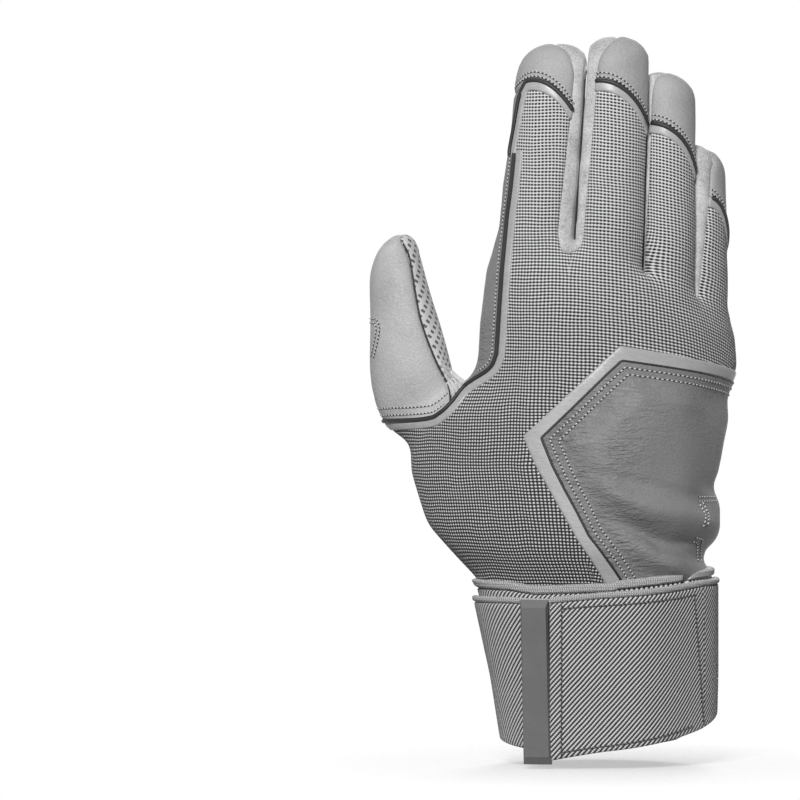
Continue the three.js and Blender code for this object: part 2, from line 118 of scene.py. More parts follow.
def bend(points):
    """Flat points in millimetres to the frame in metres."""
    x, y, z = np.asarray(points, float).T
    grip = np.clip((z - ARCH_START) / (ARCH_FULL - ARCH_START), LEAST_GRIP, 1)
    aside = x - ARCH_CENTRE
    radius = np.where(aside < 0, ARCH_RADIAL, ARCH_ULNAR) / grip
    turn = np.maximum(aside / radius, -THUMB_TURN * grip)
    straight = aside - turn * radius
    curl = CURL * (np.maximum(z - CURL_START, 0) / CURL_SPAN) ** 2
    across = (radius - y) * np.sin(turn) + straight * np.cos(turn)
    through = radius - (radius - y) * np.cos(turn) + straight * np.sin(turn) + curl
    return np.stack([across, through, z], 1) * MM


def smooth(low, high, value):
    t = np.clip((value - low) / (high - low), 0, 1)
    return t * t * (3 - 2 * t)


def smooth_min(a, b, reach):
    mix = np.clip(0.5 + 0.5 * (b - a) / reach, 0, 1)
    return b + (a - b) * mix - reach * mix * (1 - mix)


def smooth_max(a, b, reach):
    return -smooth_min(-a, -b, reach)


# The flat form of the hand as a field: negative inside, in about millimetres
def section_tables():
    """Hand sections at every millimetre of height, with the corners between them rounded off."""
    heights = np.arange(HAND_FOOT, HAND_TOP + SECTION_SPARE, SECTION_STEP)
    kernel = np.hanning(2 * SECTION_BLUR + 3)[1:-1]
    kernel /= kernel.sum()
    columns = []
    for column in HAND.T[1:]:
        padded = np.pad(np.interp(heights, HAND[:, 0], column), SECTION_BLUR, mode="edge")
        columns.append(np.convolve(padded, kernel, mode="valid"))
    return heights, columns


HEIGHTS, SECTIONS = section_tables()


def section_at(z):
    """Left and right edges, half depth and slope of the hand's section at a height."""
    return [np.interp(z, HEIGHTS, column) for column in SECTIONS]


def hand_field(x, y, z):
    left, right, _, tilt = section_at(z)
    level = z - tilt * (np.maximum(x, TILT_FROM) - (left + right) / 2)
    left, right, depth, _ = section_at(level)
    half, depth = (right - left) / 2 + SHELL, depth + SHELL
    power = 2 / HAND_SQUARENESS
    across = np.abs((x - (left + right) / 2) / half) ** power
    through = np.abs(y / depth) ** power
    side = ((across + through) ** (1 / power) - 1) * depth
    return smooth_max(side, level - HAND_TOP - SHELL, TOP_ROUND)


LEAST_TAPER, DOME_POWER = 0.78, 2.5
# Where a finger starts to run out into the hand, above its root, and over what length
ROOT_FADE, THUMB_FADE = (22.0, 26.0), (50.0, 32.0)


def finger_places(name, x, z):
    """Distance along a finger, offset across it, and its half width and half depth there."""
    finger = FINGERS[name]
    (root_x, root_z), (right, up) = finger.root, finger.along
    distance = (x - root_x) * right + (z - root_z) * up
    aside = (x - root_x) * up - (z - root_z) * right
    share = distance / (finger.length - finger.tip_width)
    narrowing = max(finger.tip_width / finger.width, LEAST_TAPER) - 1
    depth = finger.depth * (1 + narrowing * np.clip(share, 0, 1))
    return distance, aside, finger.width_at(share), depth + SHELL


def finger_field(name, x, y, z):
    finger = FINGERS[name]
    distance, aside, width, depth = finger_places(name, x, z)
    domed = distance + finger.slant * aside - finger.length + finger.tip_width
    start, run = THUMB_FADE if name == "thumb" else ROOT_FADE
    past = np.maximum(domed, 0) / (finger.tip_width + SHELL) + np.maximum(start - distance, 0) / run
    around = np.hypot(aside / width, y / depth)
    return ((around ** DOME_POWER + past ** DOME_POWER) ** (1 / DOME_POWER) - 1) * depth


def finger_edge(name, z, side):
    finger = FINGERS[name]
    (root_x, root_z), (tip_x, tip_z) = finger.root, finger.tip
    share = (z - root_z) / (tip_z - root_z)
    return root_x + (tip_x - root_x) * share + side * finger.width_at(share)


def slit_middle(i, z):
    """Where the finger i and the next one touch."""
    return (finger_edge(LONG_FINGERS[i], z, 1) + finger_edge(LONG_FINGERS[i + 1], z, -1)) / 2


# Half the gap between fingers on the back and half way through, where one finger lies over the next
GAP_BACK, GAP_MIDDLE, GAP_ROUND, GAP_SPAN = 0.34, 0.15, 0.8, (-2.5, 0.0)
SLIT_SHIFT, SLIT_LEANS, LEAN_SPAN = 0.75, (1, -1, -1), (-2.5, 1.0)
# The thumb's tip is cut off aslant on its outer side: a place on the cut, and the way the cut faces
THUMB_CUT, THUMB_CUT_FACE = np.array((-66.4, 171.0)), np.array((-0.79, 0.61))
CUT_ROUND, CROTCH_ROUND, WEB_ROUND = 4.0, 3.5, 3


def slit_side(i, x, y, z, side):
    """The side of the slit after the finger i, for the finger before it or after it."""
    place = slit_middle(i, z) + SLIT_LEANS[i] * SLIT_SHIFT * smooth(*LEAN_SPAN, y)
    gap = GAP_BACK + (GAP_MIDDLE - GAP_BACK) * smooth(*GAP_SPAN, y)
    return side * (x - place) + gap


def form_field(x, y, z):
    fingers = []
    for i, name in enumerate(LONG_FINGERS):
        field = finger_field(name, x, y, z)
        if i > 0:
            field = smooth_max(field, slit_side(i - 1, x, y, z, -1), GAP_ROUND)
        if i < len(LONG_FINGERS) - 1:
            field = smooth_max(field, slit_side(i, x, y, z, 1), GAP_ROUND)
        fingers.append(field)
    cut = (x - THUMB_CUT[0]) * THUMB_CUT_FACE[0] + (z - THUMB_CUT[1]) * THUMB_CUT_FACE[1]
    thumb = smooth_max(finger_field("thumb", x, y, z), cut, CUT_ROUND)
    hand = smooth_min(hand_field(x, y, z), thumb, CROTCH_ROUND)
    return smooth_min(hand, np.minimum.reduce(fingers), WEB_ROUND)


# The slits between the fingers are held open while the surface is found, and closed again after it
SLIT_OPEN, SLIT_HALF, SLIT_RISE = 6.0, 0.9, (136.0, 160.0)


def close_slits(x, z):
    """Takes the held-open space back out of x."""
    room = SLIT_OPEN * smooth(*SLIT_RISE, z)
    closed = np.array(x, float)
    for i in range(len(LONG_FINGERS) - 1):
        start = slit_middle(i, z) + room * i - SLIT_HALF
        closed = closed - room * np.clip((x - start) / (2 * SLIT_HALF + room), 0, 1)
    return closed


def surface_net(field, low, high, step):
    """Quads of the field's zero surface: one vertex in every grid cell that the surface crosses."""
    grids = [np.arange(a, b + step, step) for a, b in zip(low, high)]
    values = field(*np.meshgrid(*grids, indexing="ij"))
    inside = values < 0
    shape = np.array(values.shape) - 1
    total, count = np.zeros((*shape, 3)), np.zeros(shape)

    def at(grid, offset):
        return grid[tuple(slice(o, o + n) for o, n in zip(offset, shape))]

    for a in np.ndindex(2, 2, 2):
        for axis in range(3):
            if a[axis]:
                continue
            b = tuple(c + (i == axis) for i, c in enumerate(a))
            crossing = at(inside, a) != at(inside, b)
            start, end = at(values, a)[crossing], at(values, b)[crossing]
            place = np.tile(np.array(a, float), (len(start), 1))
            place[:, axis] = start / (start - end)
            total[crossing] += place
            count[crossing] += 1
    active = count > 0
    ids = np.full(shape, -1)
    ids[active] = np.arange(active.sum())
    cells = np.argwhere(active) + total[active] / count[active][:, None]
    quads = []
    for axis in range(3):
        u, v = (axis + 1) % 3, (axis + 2) % 3
        first = inside[tuple(slice(int(i != axis), n) for i, n in enumerate(shape))]
        second = inside[tuple(slice(1, n + (i == axis)) for i, n in enumerate(shape))]
        for mask, order in ((first & ~second, 1), (~first & second, -1)):
            base = np.argwhere(mask) + [int(i != axis) for i in range(3)]
            ring = []
            for du, dv in ((1, 1), (0, 1), (0, 0), (1, 0)):
                cell = base.copy()
                cell[:, u] -= du
                cell[:, v] -= dv
                ring.append(ids[tuple(cell.T)])
            quads.append(np.stack(ring[::order], 1))
    return cells * step + np.array([grid[0] for grid in grids]), np.concatenate(quads)


class Sheet:
    """A flat pattern in space: vertices, outward normals and triangles."""

    def __init__(self, points, normals, triangles):
        self.points, self.normals, self.triangles = points, normals, triangles

    def edges(self):
        return self.triangles[:, [0, 1, 1, 2, 2, 0]].reshape(-1, 2)

    def split(self, values):
        """The same sheet with its triangles divided where the values cross zero, and the new values."""
        edges = np.unique(np.sort(self.edges(), 1), axis=0)
        crossed = edges[values[edges[:, 0]] * values[edges[:, 1]] < 0]
        if not len(crossed):
            return self, values
        old = len(self.points)
        start, end = values[crossed].T
        share = (start / (start - end))[:, None]
        middle = {edge: old + i for i, edge in enumerate(map(tuple, crossed.tolist()))}
        mixed = [np.vstack([array, array[crossed[:, 0]] * (1 - share) + array[crossed[:, 1]] * share])
                 for array in (self.points, self.normals)]
        signs = np.sign(values)[self.triangles]
        cut = (signs.min(1) < 0) & (signs.max(1) > 0)
        triangles = self.triangles[~cut].tolist()
        for triangle in self.triangles[cut].tolist():
            loop = []
            for a, b in zip(triangle, triangle[1:] + triangle[:1]):
                loop.append(a)
                if (min(a, b), max(a, b)) in middle:
                    loop.append(middle[min(a, b), max(a, b)])
            first = next(i for i, v in enumerate(loop) if v >= old)
            loop = loop[first:] + loop[:first]
            turn = next(i for i in range(2, len(loop)) if loop[i] >= old or values[loop[i]] == 0)
            for part in (loop[:turn + 1], loop[turn:] + loop[:1]):
                triangles += [[part[0], part[i], part[i + 1]] for i in range(1, len(part) - 1)]
        return Sheet(*mixed, np.array(triangles)), np.concatenate([values, np.zeros(len(crossed))])

    def keep(self, chosen):
        used, packed = np.unique(self.triangles[chosen], return_inverse=True)
        return Sheet(self.points[used], self.normals[used], packed.reshape(-1, 3))

    def cut(self, field):
        """The parts of the sheet where the field is positive, and where it is not."""
        snapped = snap(self, field)
        values = field(snapped.points)
        values[np.abs(values) < FLAT_VALUE] = 0
        sheet, values = snapped.split(values)
        inside = values[sheet.triangles].sum(1) > 0
        return sheet.keep(inside), sheet.keep(~inside)

    def rim_edges(self):
        edges = self.edges()
        _, where, counts = np.unique(np.sort(edges, 1), axis=0, return_index=True, return_counts=True)
        return edges[where[counts == 1]]


FIELD_STEP, SNAP, FLAT_VALUE, LEAST_STEEP = 0.05, 0.3, 1e-4, 0.2
SNAP_MISS, LEAST_NORMAL, RELAX_SHARE = SNAP / 3, 1e-9, 0.5


def snap(sheet, field):
    """Moves the vertices that lie close to the field's zero line on to it, so that no slivers are cut."""
    values = field(sheet.points)
    steps = [field(sheet.points + FIELD_STEP * axis) - values for axis in np.eye(3)]
    slope = np.stack(steps, 1) / FIELD_STEP
    slope -= sheet.normals * (slope * sheet.normals).sum(1)[:, None]
    steep = (slope ** 2).sum(1)
    near = (np.abs(values) < SNAP) & (steep > LEAST_STEEP)
    points = sheet.points.copy()
    points[near] -= slope[near] * (values[near] / steep[near])[:, None]
    landed = near & (np.abs(field(points)) < SNAP_MISS)
    return Sheet(np.where(landed[:, None], points, sheet.points), sheet.normals, sheet.triangles)


def vertex_normals(points, triangles):
    a, b, c = (points[triangles[:, i]] for i in range(3))
    faces = np.cross(b - a, c - a)
    normals = np.zeros_like(points)
    for i in range(3):
        np.add.at(normals, triangles[:, i], faces)
    return normals / np.maximum(np.linalg.norm(normals, axis=1), LEAST_NORMAL)[:, None]


def relaxed(points, quads, rounds):
    """Evens the vertices out towards the middle of their neighbours."""
    edges = np.unique(np.sort(quads[:, [0, 1, 1, 2, 2, 3, 3, 0]].reshape(-1, 2), 1), axis=0)
    both = np.vstack([edges, edges[:, ::-1]])
    count = np.bincount(both[:, 0], minlength=len(points))[:, None]
    for _ in range(rounds):
        total = np.zeros_like(points)
        np.add.at(total, both[:, 0], points[both[:, 1]])
        points = points * (1 - RELAX_SHARE) + total / count * RELAX_SHARE
    return points


# Outlines on the flat pattern
def spline(points, steps=8):
    """A smooth line through points (a Catmull-Rom curve)."""
    points = np.array(points, float)
    ends = np.vstack([2 * points[0] - points[1], points, 2 * points[-1] - points[-2]])
    line = []
    for a, b, c, d in zip(ends, ends[1:], ends[2:], ends[3:]):
        for t in np.arange(steps) / steps:
            line.append(0.5 * (2 * b + (c - a) * t + (2 * a - 5 * b + 4 * c - d) * t ** 2
                               + (3 * b - a - 3 * c + d) * t ** 3))
    return np.array(line + [points[-1]])


def line_distance(points, line):
    """Distance of points from a line, both as x and z."""
    best = np.full(len(points), np.inf)
    for a, b in zip(line, line[1:]):
        run = b - a
        share = np.clip(((points - a) @ run) / (run @ run), 0, 1)
        best = np.minimum(best, np.hypot(*(points - a - share[:, None] * run).T))
    return best


def outline_field(points, outline):
    """Signed distance to a closed outline in x and z: positive inside."""
    outline = np.asarray(outline, float)
    closed = np.vstack([outline, outline[:1]])
    flat = points[:, [0, 2]]
    inside = np.zeros(len(points), bool)
    for (ax, az), (bx, bz) in zip(closed, closed[1:]):
        spans = (az > flat[:, 1]) != (bz > flat[:, 1])
        with np.errstate(divide="ignore", invalid="ignore"):
            meets = ax + (flat[:, 1] - az) * (bx - ax) / (bz - az)
        inside ^= spans & (flat[:, 0] < meets)
    return np.where(inside, 1, -1) * line_distance(flat, closed)


FAR, WRIST = 130.0, 47.0
SEAM_PALM = math.radians(122)
# Back seams of each finger, in degrees from the middle of its back: at the tip and at the root
SEAM_BACK = {
    ("index", -1): (78, 78), ("index", 1): (44, 38), ("middle", -1): (36, 46), ("middle", 1): (80, 74),
    ("ring", -1): (66, 82), ("ring", 1): (80, 74), ("little", -1): (14, 48), ("little", 1): (76, 76),
    ("thumb", -1): (100, 100), ("thumb", 1): (58, 60),
}
SEAM_TURN = (0.3, 1)
TIP_STRIP, TIP_BAND, TIP_BAND_OVER, CAP_REACH = 3.0, 3.8, 0.4, 13.0
# Height of each web between two fingers half way through the hand, and how far it falls towards the palm
WEBS = {"index": (167.5, 0.85), "middle": (161.5, 0.6), "ring": (154, 0.35)}
# The side tape: a narrow length beside the index finger, then a wide one down to the thumb
BAND_UPPER_HALF, BAND_LOWER_HALF, BAND_BACK, BAND_CORNER = 1.1, 1.45, 0.5, 2.0
BAND_UPPER = spline([(-7.6, 231), (-8.7, 227.5), (-10.3, 219.5), (-11.9, 212), (-12.0, 209.5)])
BAND_LOWER = spline([
    (-9.4, 210), (-10.6, 197.6), (-12.6, 181), (-14.6, 145), (-15.4, 139), (-18.5, 134), (-27.5, 128.5),
    (-31.5, 123), (-36, 118.8), (-43, 116.4), (-68, 115.5),
])
BAND_SIDE = [*BAND_UPPER, *BAND_LOWER, (-FAR, 115.5), (-FAR, 2 * FAR), (-7.4, 2 * FAR)]
# Inner edge of the thumb leather, from its tip to its hem
THUMB_EDGE = spline([
    (-57, 190), (-53.4, 181.7), (-50.3, 175.4), (-47.8, 163.7), (-45.2, 152.1), (-40.7, 139.6), (-34.6, 126),
    (-30, 112),
])
THUMB_SIDE = [*THUMB_EDGE, (-FAR, 112), (-FAR, 190)]
THUMB_WEB, LITTLE_SIDE_END = -32.0, 146.0
# The back pad and the tape round it, and how far each reaches round the edge of the hand
PAD_BASE = 54.0
PAD_EDGE = [(90, 126), (22, 138.4), (0.2, 111.9), (6.3, 94.2), (12.4, 78.7), (21.5, 65.2), (29, PAD_BASE)]
PAD_OUTLINE = [*PAD_EDGE, (90, PAD_BASE)]
PAD_BAND_OUTLINE = [
    (90, 129.5), (21.8, 143.6), (-5.2, 112.5), (3.8, 89), (8.9, 77), (15.2, 66.2), (22, PAD_BASE),
    (90, PAD_BASE),
]
PAD_REACH, PAD_BAND_REACH, PAD_BAND_UNDER = 1.5, 0.8, 0.6
PATCH_EDGE = spline([(80, 122), (36, 130), (25, 126), (25, 119), (38, 98), (30, 80), (26, 66), (26, 48)])
PATCH_OUTLINE, PATCH_REACH = [*PATCH_EDGE, (80, 48)], 1.6
GUSSET_PLACE, GUSSET_HALF = np.array((-29.0, 124.0)), np.array((4.5, 10.0))


# Fields of the pattern pieces: positive on the piece, in about millimetres
def finger_angle(name, points):
    """Angle round a finger from the middle of its back, with its places along and across, and its radius."""
    finger = FINGERS[name]
    distance, aside, width, depth = finger_places(name, points[:, 0], points[:, 2])
    tip = TIP_STRIP * smooth(finger.length - finger.tip_width, finger.length, distance)
    angle = np.arctan2((np.abs(aside) + tip) / width, -points[:, 1] / depth)
    return angle, distance / finger.length, aside, (width + depth) / 2


def back_seam(name, side, share):
    tip, root = SEAM_BACK[name, side]
    return np.radians(root + (tip - root) * smooth(*SEAM_TURN, share))


def side_field(name, side, points):
    """The side strip of a finger, between its back seam and its palm seam."""
    angle, share, aside, radius = finger_angle(name, points)
    strip = np.minimum(angle - back_seam(name, side, share), SEAM_PALM - angle) * radius
    return np.minimum(strip, side * aside)


def back_field(name, points):
    """The back of a finger, between its two back seams."""
    angle, share, aside, radius = finger_angle(name, points)
    seam = np.where(aside < 0, back_seam(name, -1, share), back_seam(name, 1, share))
    return (seam - angle) * radius


def own_finger(name, points):
    """All that is nearer to this finger than to any other."""
    gaps = {}
    for finger in LONG_FINGERS:
        _, aside, width, _ = finger_places(finger, points[:, 0], points[:, 2])
        gaps[finger] = np.abs(aside) - width
    return np.minimum.reduce([gaps[other] - gaps[name] for other in LONG_FINGERS if other != name])


def cap_edge(name, aside):
    """Distance along a finger to the bowed lower edge of its cap."""
    length, highest, fall = FINGERS[name].cap
    aside = np.clip(aside, -CAP_REACH, CAP_REACH)
    return FINGERS[name].length - length - fall * (aside - highest) ** 2


def cap_height(name, points):
    distance, aside, _, _ = finger_places(name, points[:, 0], points[:, 2])
    return distance - cap_edge(name, aside)


def tip_cap(name):
    def field(points):
        across = back_field(name, points)
        if name == "index":
            angle, _, aside, radius = finger_angle(name, points)
            across = np.where(aside < 0, (SEAM_PALM - angle) * radius, across)
        return np.minimum.reduce([cap_height(name, points), across, own_finger(name, points)])
    return field


def fourchette(name, following):
    """The strip between two fingers: up the side of one, through the crotch and up the side of the next."""
    def field(points):
        first, second = (finger_places(f, points[:, 0], points[:, 2]) for f in (name, following))
        nearer = first[1] - first[2] < -second[1] - second[2]
        strip = np.where(nearer, side_field(name, 1, points), side_field(following, -1, points))
        height, fall = WEBS[name]
        web = points[:, 2] - height + fall * points[:, 1]
        return np.minimum.reduce([strip, first[1], -second[1], web])
    return field


def little_side(points):
    return np.minimum(side_field("little", 1, points), points[:, 2] - LITTLE_SIDE_END)


def index_side(points):
    angle, _, _, radius = finger_angle("index", points)
    palm = (SEAM_PALM - angle) * radius
    return np.minimum.reduce([outline_field(points, BAND_SIDE), palm, points[:, 0] - THUMB_WEB])


def thumb_back(points):
    angle, _, aside, radius = finger_angle("thumb", points)
    outer = (math.radians(SEAM_BACK["thumb", -1][0]) - angle) * radius
    side = np.where(aside < 0, outer, -points[:, 1])
    return np.minimum.reduce([outline_field(points, BAND_SIDE), outline_field(points, THUMB_SIDE), side])


def gusset(points):
    across, up = ((points[:, [0, 2]] - GUSSET_PLACE) / GUSSET_HALF).T
    return np.minimum((1 - np.hypot(across, up)) * GUSSET_HALF[0], points[:, 1])


def whole_back(points):
    return np.minimum(-points[:, 1], -outline_field(points, BAND_SIDE))


def tip_band(name):
    def field(points):
        under = -cap_height(name, points)
        across = np.minimum(back_field(name, points) + TIP_BAND_OVER, own_finger(name, points))
        return np.minimum.reduce([under, TIP_BAND - under, across])
    return field


def side_band(points):
    flat = points[:, [0, 2]]
    upper = BAND_UPPER_HALF - line_distance(flat, BAND_UPPER)
    lower = BAND_LOWER_HALF - line_distance(flat, BAND_LOWER)
    on_back = -points[:, 1] - BAND_BACK
    path = np.minimum.reduce([np.maximum(upper, lower), on_back, -cap_height("index", points)])
    across = np.minimum(tip_band("index")(points), points[:, 0] - BAND_UPPER[0, 0] + BAND_CORNER)
    return np.maximum(path, across)


def back_pad(points):
    return np.minimum(outline_field(points, PAD_OUTLINE), PAD_REACH - points[:, 1])


def pad_band(points):
    outside = PAD_BAND_UNDER - outline_field(points, PAD_OUTLINE)
    ring = np.minimum(outline_field(points, PAD_BAND_OUTLINE), outside)
    return np.minimum(ring, PAD_BAND_REACH - points[:, 1])


def heel_patch(points):
    return np.minimum(outline_field(points, PATCH_OUTLINE), points[:, 1] - PATCH_REACH)


# The base surface that every sewn piece is cut from
GRID_LOW, GRID_HIGH, GRID_STEP = (-78, -26, 44), (96, 26, 252), 1.2
RELAX_ROUNDS = 3
RIPPLE, RIPPLE_LENGTH = 0.35, 16.0
# Puckers on the outer edge of the hand: height above the frame's floor, reach and depth of each
PUCKERS = ((95, 4.5, -1.6), (87, 4.5, 1.2), (71, 5, -1.9), (126, 6.5, -2.0))
PUCKER_EDGE = (38, 52)
# The shell is drawn in above the cuff, on its back and palm and half as much round its outer edge
TUCK_DEPTH, TUCK_SPAN, TUCK_EDGE, TUCK_EDGE_SHARE = 4.2, (WRIST + 11, 76.0), (30, 50), 0.5


def rolling(points, length):
    """Slow noise over points, from -1 to 1."""
    return np.array([noise.noise(Vector(p / length)) for p in points])


def slack(points, normals):
    """How far the shell stands off its form: puckered at the outer edge and drawn in above the cuff."""
    x, _, z = points.T
    puckers = sum(depth * np.exp(-((z - height) / reach) ** 2) for height, reach, depth in PUCKERS)
    turned = np.maximum(np.abs(normals[:, 1]), TUCK_EDGE_SHARE * smooth(*TUCK_EDGE, x))
    tuck = -TUCK_DEPTH * (1 - smooth(*TUCK_SPAN, z)) * turned
    return puckers * smooth(*PUCKER_EDGE, x) + tuck


def base_sheet():
    def opened(x, y, z):
        return form_field(close_slits(x, z), y, z)

    points, quads = surface_net(opened, GRID_LOW, GRID_HIGH, GRID_STEP)
    points = relaxed(points, quads, RELAX_ROUNDS)
    points[:, 0] = close_slits(points[:, 0], points[:, 2])
    triangles = np.vstack([quads[:, [0, 1, 2]], quads[:, [0, 2, 3]]])
    normals = vertex_normals(points, triangles)
    lift = RIPPLE * rolling(points, RIPPLE_LENGTH) + slack(points, normals)
    sheet = Sheet(points + normals * lift[:, None], normals, triangles)
    return sheet.cut(lambda p: p[:, 2] - WRIST)[0]


# Objects made from sheets
CUFF_END, ROW_SNAP = WRIST + 1, 0.2


def rim_distance(sheet):
    """Distance of each vertex from the sheet's sewn rim; the end inside the cuff doesn't count."""
    edges = sheet.rim_edges()
    a, b = sheet.points[edges[:, 0]], sheet.points[edges[:, 1]]
    samples = np.vstack([a, (a + b) / 2])
    samples = samples[samples[:, 2] > CUFF_END]
    tree = KDTree(len(samples))
    for i, p in enumerate(samples):
        tree.insert(p, i)
    tree.balance()
    return np.array([tree.find(p)[2] for p in sheet.points])


def with_rows(sheet, rows):
    """The sheet with lines of vertices at some distances from its rim, and every vertex's distance."""
    distance = rim_distance(sheet)
    for row in rows:
        offset = distance - row
        offset[np.abs(offset) < row * ROW_SNAP] = 0
        sheet, offset = sheet.split(offset)
        distance = np.concatenate([distance, np.full(len(offset) - len(distance), row)])
    return sheet, distance


def refined(sheet):
    """Each triangle in four."""
    unique, where = np.unique(np.sort(sheet.edges(), 1), axis=0, return_inverse=True)
    a, b, c = sheet.triangles.T
    ab, bc, ca = (len(sheet.points) + where.reshape(-1, 3)).T
    corners = ((a, ab, ca), (ab, b, bc), (ca, bc, c), (ab, bc, ca))
    arrays = [np.vstack([array, array[unique].mean(1)]) for array in (sheet.points, sheet.normals)]
    return Sheet(*arrays, np.vstack([np.stack(corner, 1) for corner in corners]))


def link(name, data):
    made = bpy.data.objects.new(name, data)
    bpy.context.scene.collection.objects.link(made)
    return made


def add_object(name, vertices, faces, material, body, flat=None, nodes=()):
    """A mesh piece in the frame, riding on a body. flat holds its place on the pattern, for its material."""
    mesh = bpy.data.meshes.new(name)
    mesh.from_pydata([tuple(v) for v in vertices], [], [tuple(f) for f in faces])
    mesh.validate()
    if flat is not None:
        attribute = mesh.attributes.new("flat", "FLOAT_VECTOR", "POINT")
        attribute.data.foreach_set("vector", np.asarray(flat, np.float32).ravel())
    mesh.polygons.foreach_set("use_smooth", np.ones(len(mesh.polygons), bool))
    mesh.materials.append(material)
    piece = link(name, mesh)
    if body:
        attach(piece, body)
    if nodes:
        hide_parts(*nodes)
    return piece


def closed_piece(name, top, bottom, faces, rim, places, material, body, nodes):
    """A piece between two layers of flat points, with walls along its rim."""
    count = len(top)
    walls = np.stack([rim[:, 1], rim[:, 0], rim[:, 0] + count, rim[:, 1] + count], 1)
    loops = [*faces.tolist(), *(faces[:, ::-1] + count).tolist(), *walls.tolist()]
    layers, flat = bend(np.vstack([top, bottom])), np.vstack([places, places])
    return add_object(name, layers, loops, material, body, flat, nodes)


# How the rows of the cloth fall away towards the little finger, and where they go round fingers and thumb
ROW_FALL, SIDE_SHARE, LEAN_LIMIT = 0.0038, 0.5, 0.99
FINGER_WEAVE, THUMB_WEAVE, THUMB_WEAVE_SPAN = (166, 186), (118, 132), (THUMB_WEB, THUMB_WEB - 8)


def pattern_places(points):
    """Place on the cut pattern: lengths along the cloth across and up the hand, and which side it is on."""
    x, y, z = points.T
    left, right, depth, _ = section_at(np.minimum(z, HAND_TOP))
    fallen = np.clip(depth - np.abs(y), 0, None) * np.sign(x - (left + right) / 2)
    places = [finger_places(name, x, z) for name in LONG_FINGERS]
    nearest = np.argmin([np.abs(p[1]) - p[2] for p in places], 0)
    aside, width = (np.choose(nearest, [p[i] for p in places]) for i in (1, 2))
    lean = np.clip(aside / width, -LEAN_LIMIT, LEAN_LIMIT)
    wrapped = width * (np.arcsin(lean) - lean)
    high = smooth(*FINGER_WEAVE, z)
    fall = ROW_FALL * np.maximum(x, 0) ** 2
    across = x + SIDE_SHARE * fallen * (1 - high) + wrapped * high
    _, aside, width, depth = finger_places("thumb", x, z)
    round_thumb = np.arctan2(aside / width, y / depth) * (width + depth) / 2
    on_thumb = smooth(*THUMB_WEAVE_SPAN, x) * smooth(*THUMB_WEAVE, z)
    return np.stack([across + (round_thumb + x - aside - across) * on_thumb, z + fall, y], 1)


def sewn_piece(name, sheet, outer, inner, material, nodes):
    """A closed piece between two heights above a sheet."""
    top, bottom = (sheet.points + sheet.normals * np.reshape(h, (-1, 1)) for h in (outer, inner))
    rim, places = sheet.rim_edges(), pattern_places(sheet.points)
    return closed_piece(name, top, bottom, sheet.triangles, rim, places, material, GLOVE, nodes)


# Materials
def grey(level):
    """A linear grey from a screen level of 0 to 255."""
    share = level / 255
    linear = share / 12.92 if share < 0.04 else ((share + 0.055) / 1.055) ** 2.4
    return (linear, linear, linear, 1)


class Wire:
    """A value in a node tree, to reckon with."""

    def __init__(self, graph, socket):
        self.graph, self.socket = graph, socket

    def __add__(self, other):
        return self.graph.math("ADD", self, other)

    def __sub__(self, other):
        return self.graph.math("SUBTRACT", self, other)

    def __rsub__(self, other):
        return self.graph.math("SUBTRACT", other, self)

    def __mul__(self, other):
        return self.graph.math("MULTIPLY", self, other)

    __radd__, __rmul__ = __add__, __mul__


class Graph:
    """A node tree that is put together node by node."""

    def __init__(self, tree):
        self.tree = tree

    def put(self, value, socket):
        if isinstance(value, Wire):
            self.tree.links.new(value.socket, socket)
        else:
            socket.default_value = value

    def node(self, kind, *inputs, output=0, settings=(), **named):
        made = self.tree.nodes.new(f"ShaderNode{kind}")
        for key, value in dict(settings).items():
            setattr(made, key, value)
        for key, value in (*enumerate(inputs), *named.items()):
            self.put(value, made.inputs[key])
        return Wire(self, made.outputs[output])

    def math(self, operation, *values):
        return self.node("Math", *values, settings={"operation": operation})


class Paint(Graph):
    """A procedural material."""

    def __init__(self, name, **values):
        self.material = bpy.data.materials.new(name)
        self.material.use_nodes = True
        super().__init__(self.material.node_tree)
        for socket, value in values.items():
            self.give(socket.replace("_", " "), value)

    def give(self, socket, value):
        self.put(value, self.tree.nodes["Principled BSDF"].inputs[socket])

    def pattern(self):
        """Place on the pattern, with the lengths across and up it, in millimetres."""
        place = self.node("Attribute", output="Vector", settings={"attribute_name": "flat"})
        return place, self.node("SeparateXYZ", place), self.node("SeparateXYZ", place, output=1)

    def place(self):
        return self.node("TexCoord", output="Object")

    def noise(self, place, scale, detail=2.0, roughness=0.5, distortion=0.0):
        return self.node("TexNoise", output="Fac", Vector=place, Scale=scale, Detail=detail,
                         Roughness=roughness, Distortion=distortion)

    def wave(self, length, pitch):
        """A cosine from 0 to 1 with one crest in every pitch."""
        return 0.5 * self.math("COSINE", length * (2 * math.pi / pitch)) + 0.5

    def ramp(self, factor, *stops):
        """Greys blended between stops, each a value and a screen level."""
        blended = self.node("ValToRGB", factor)
        elements = blended.socket.node.color_ramp.elements
        while len(elements) < len(stops):
            elements.new(0.5)
        for element, (position, level) in zip(elements, stops):
            element.position = position
            element.color = grey(level)
        return blended

    def shades(self, factor, level, *stops, brightest=250):
        """Shades of one grey, with stops that are each a value and a share of its level."""
        return self.ramp(factor, *((position, min(level * share, brightest)) for position, share in stops))

    def finish(self, colour, roughness, *bumps):
        """Sets the colour, the roughness as a factor and its range, and bumps as heights in millimetres."""
        factor, low, high = roughness
        self.give("Base Color", colour)
        self.give("Roughness", self.node("MapRange", factor, 0.0, 1.0, low, high))
        under = {}
        for height, size in bumps:
            under = {"Normal": self.node("Bump", Distance=size * MM, Height=height, **under)}
        self.give("Normal", under["Normal"])
        return self.material


WEAVE_PITCH = 1.12
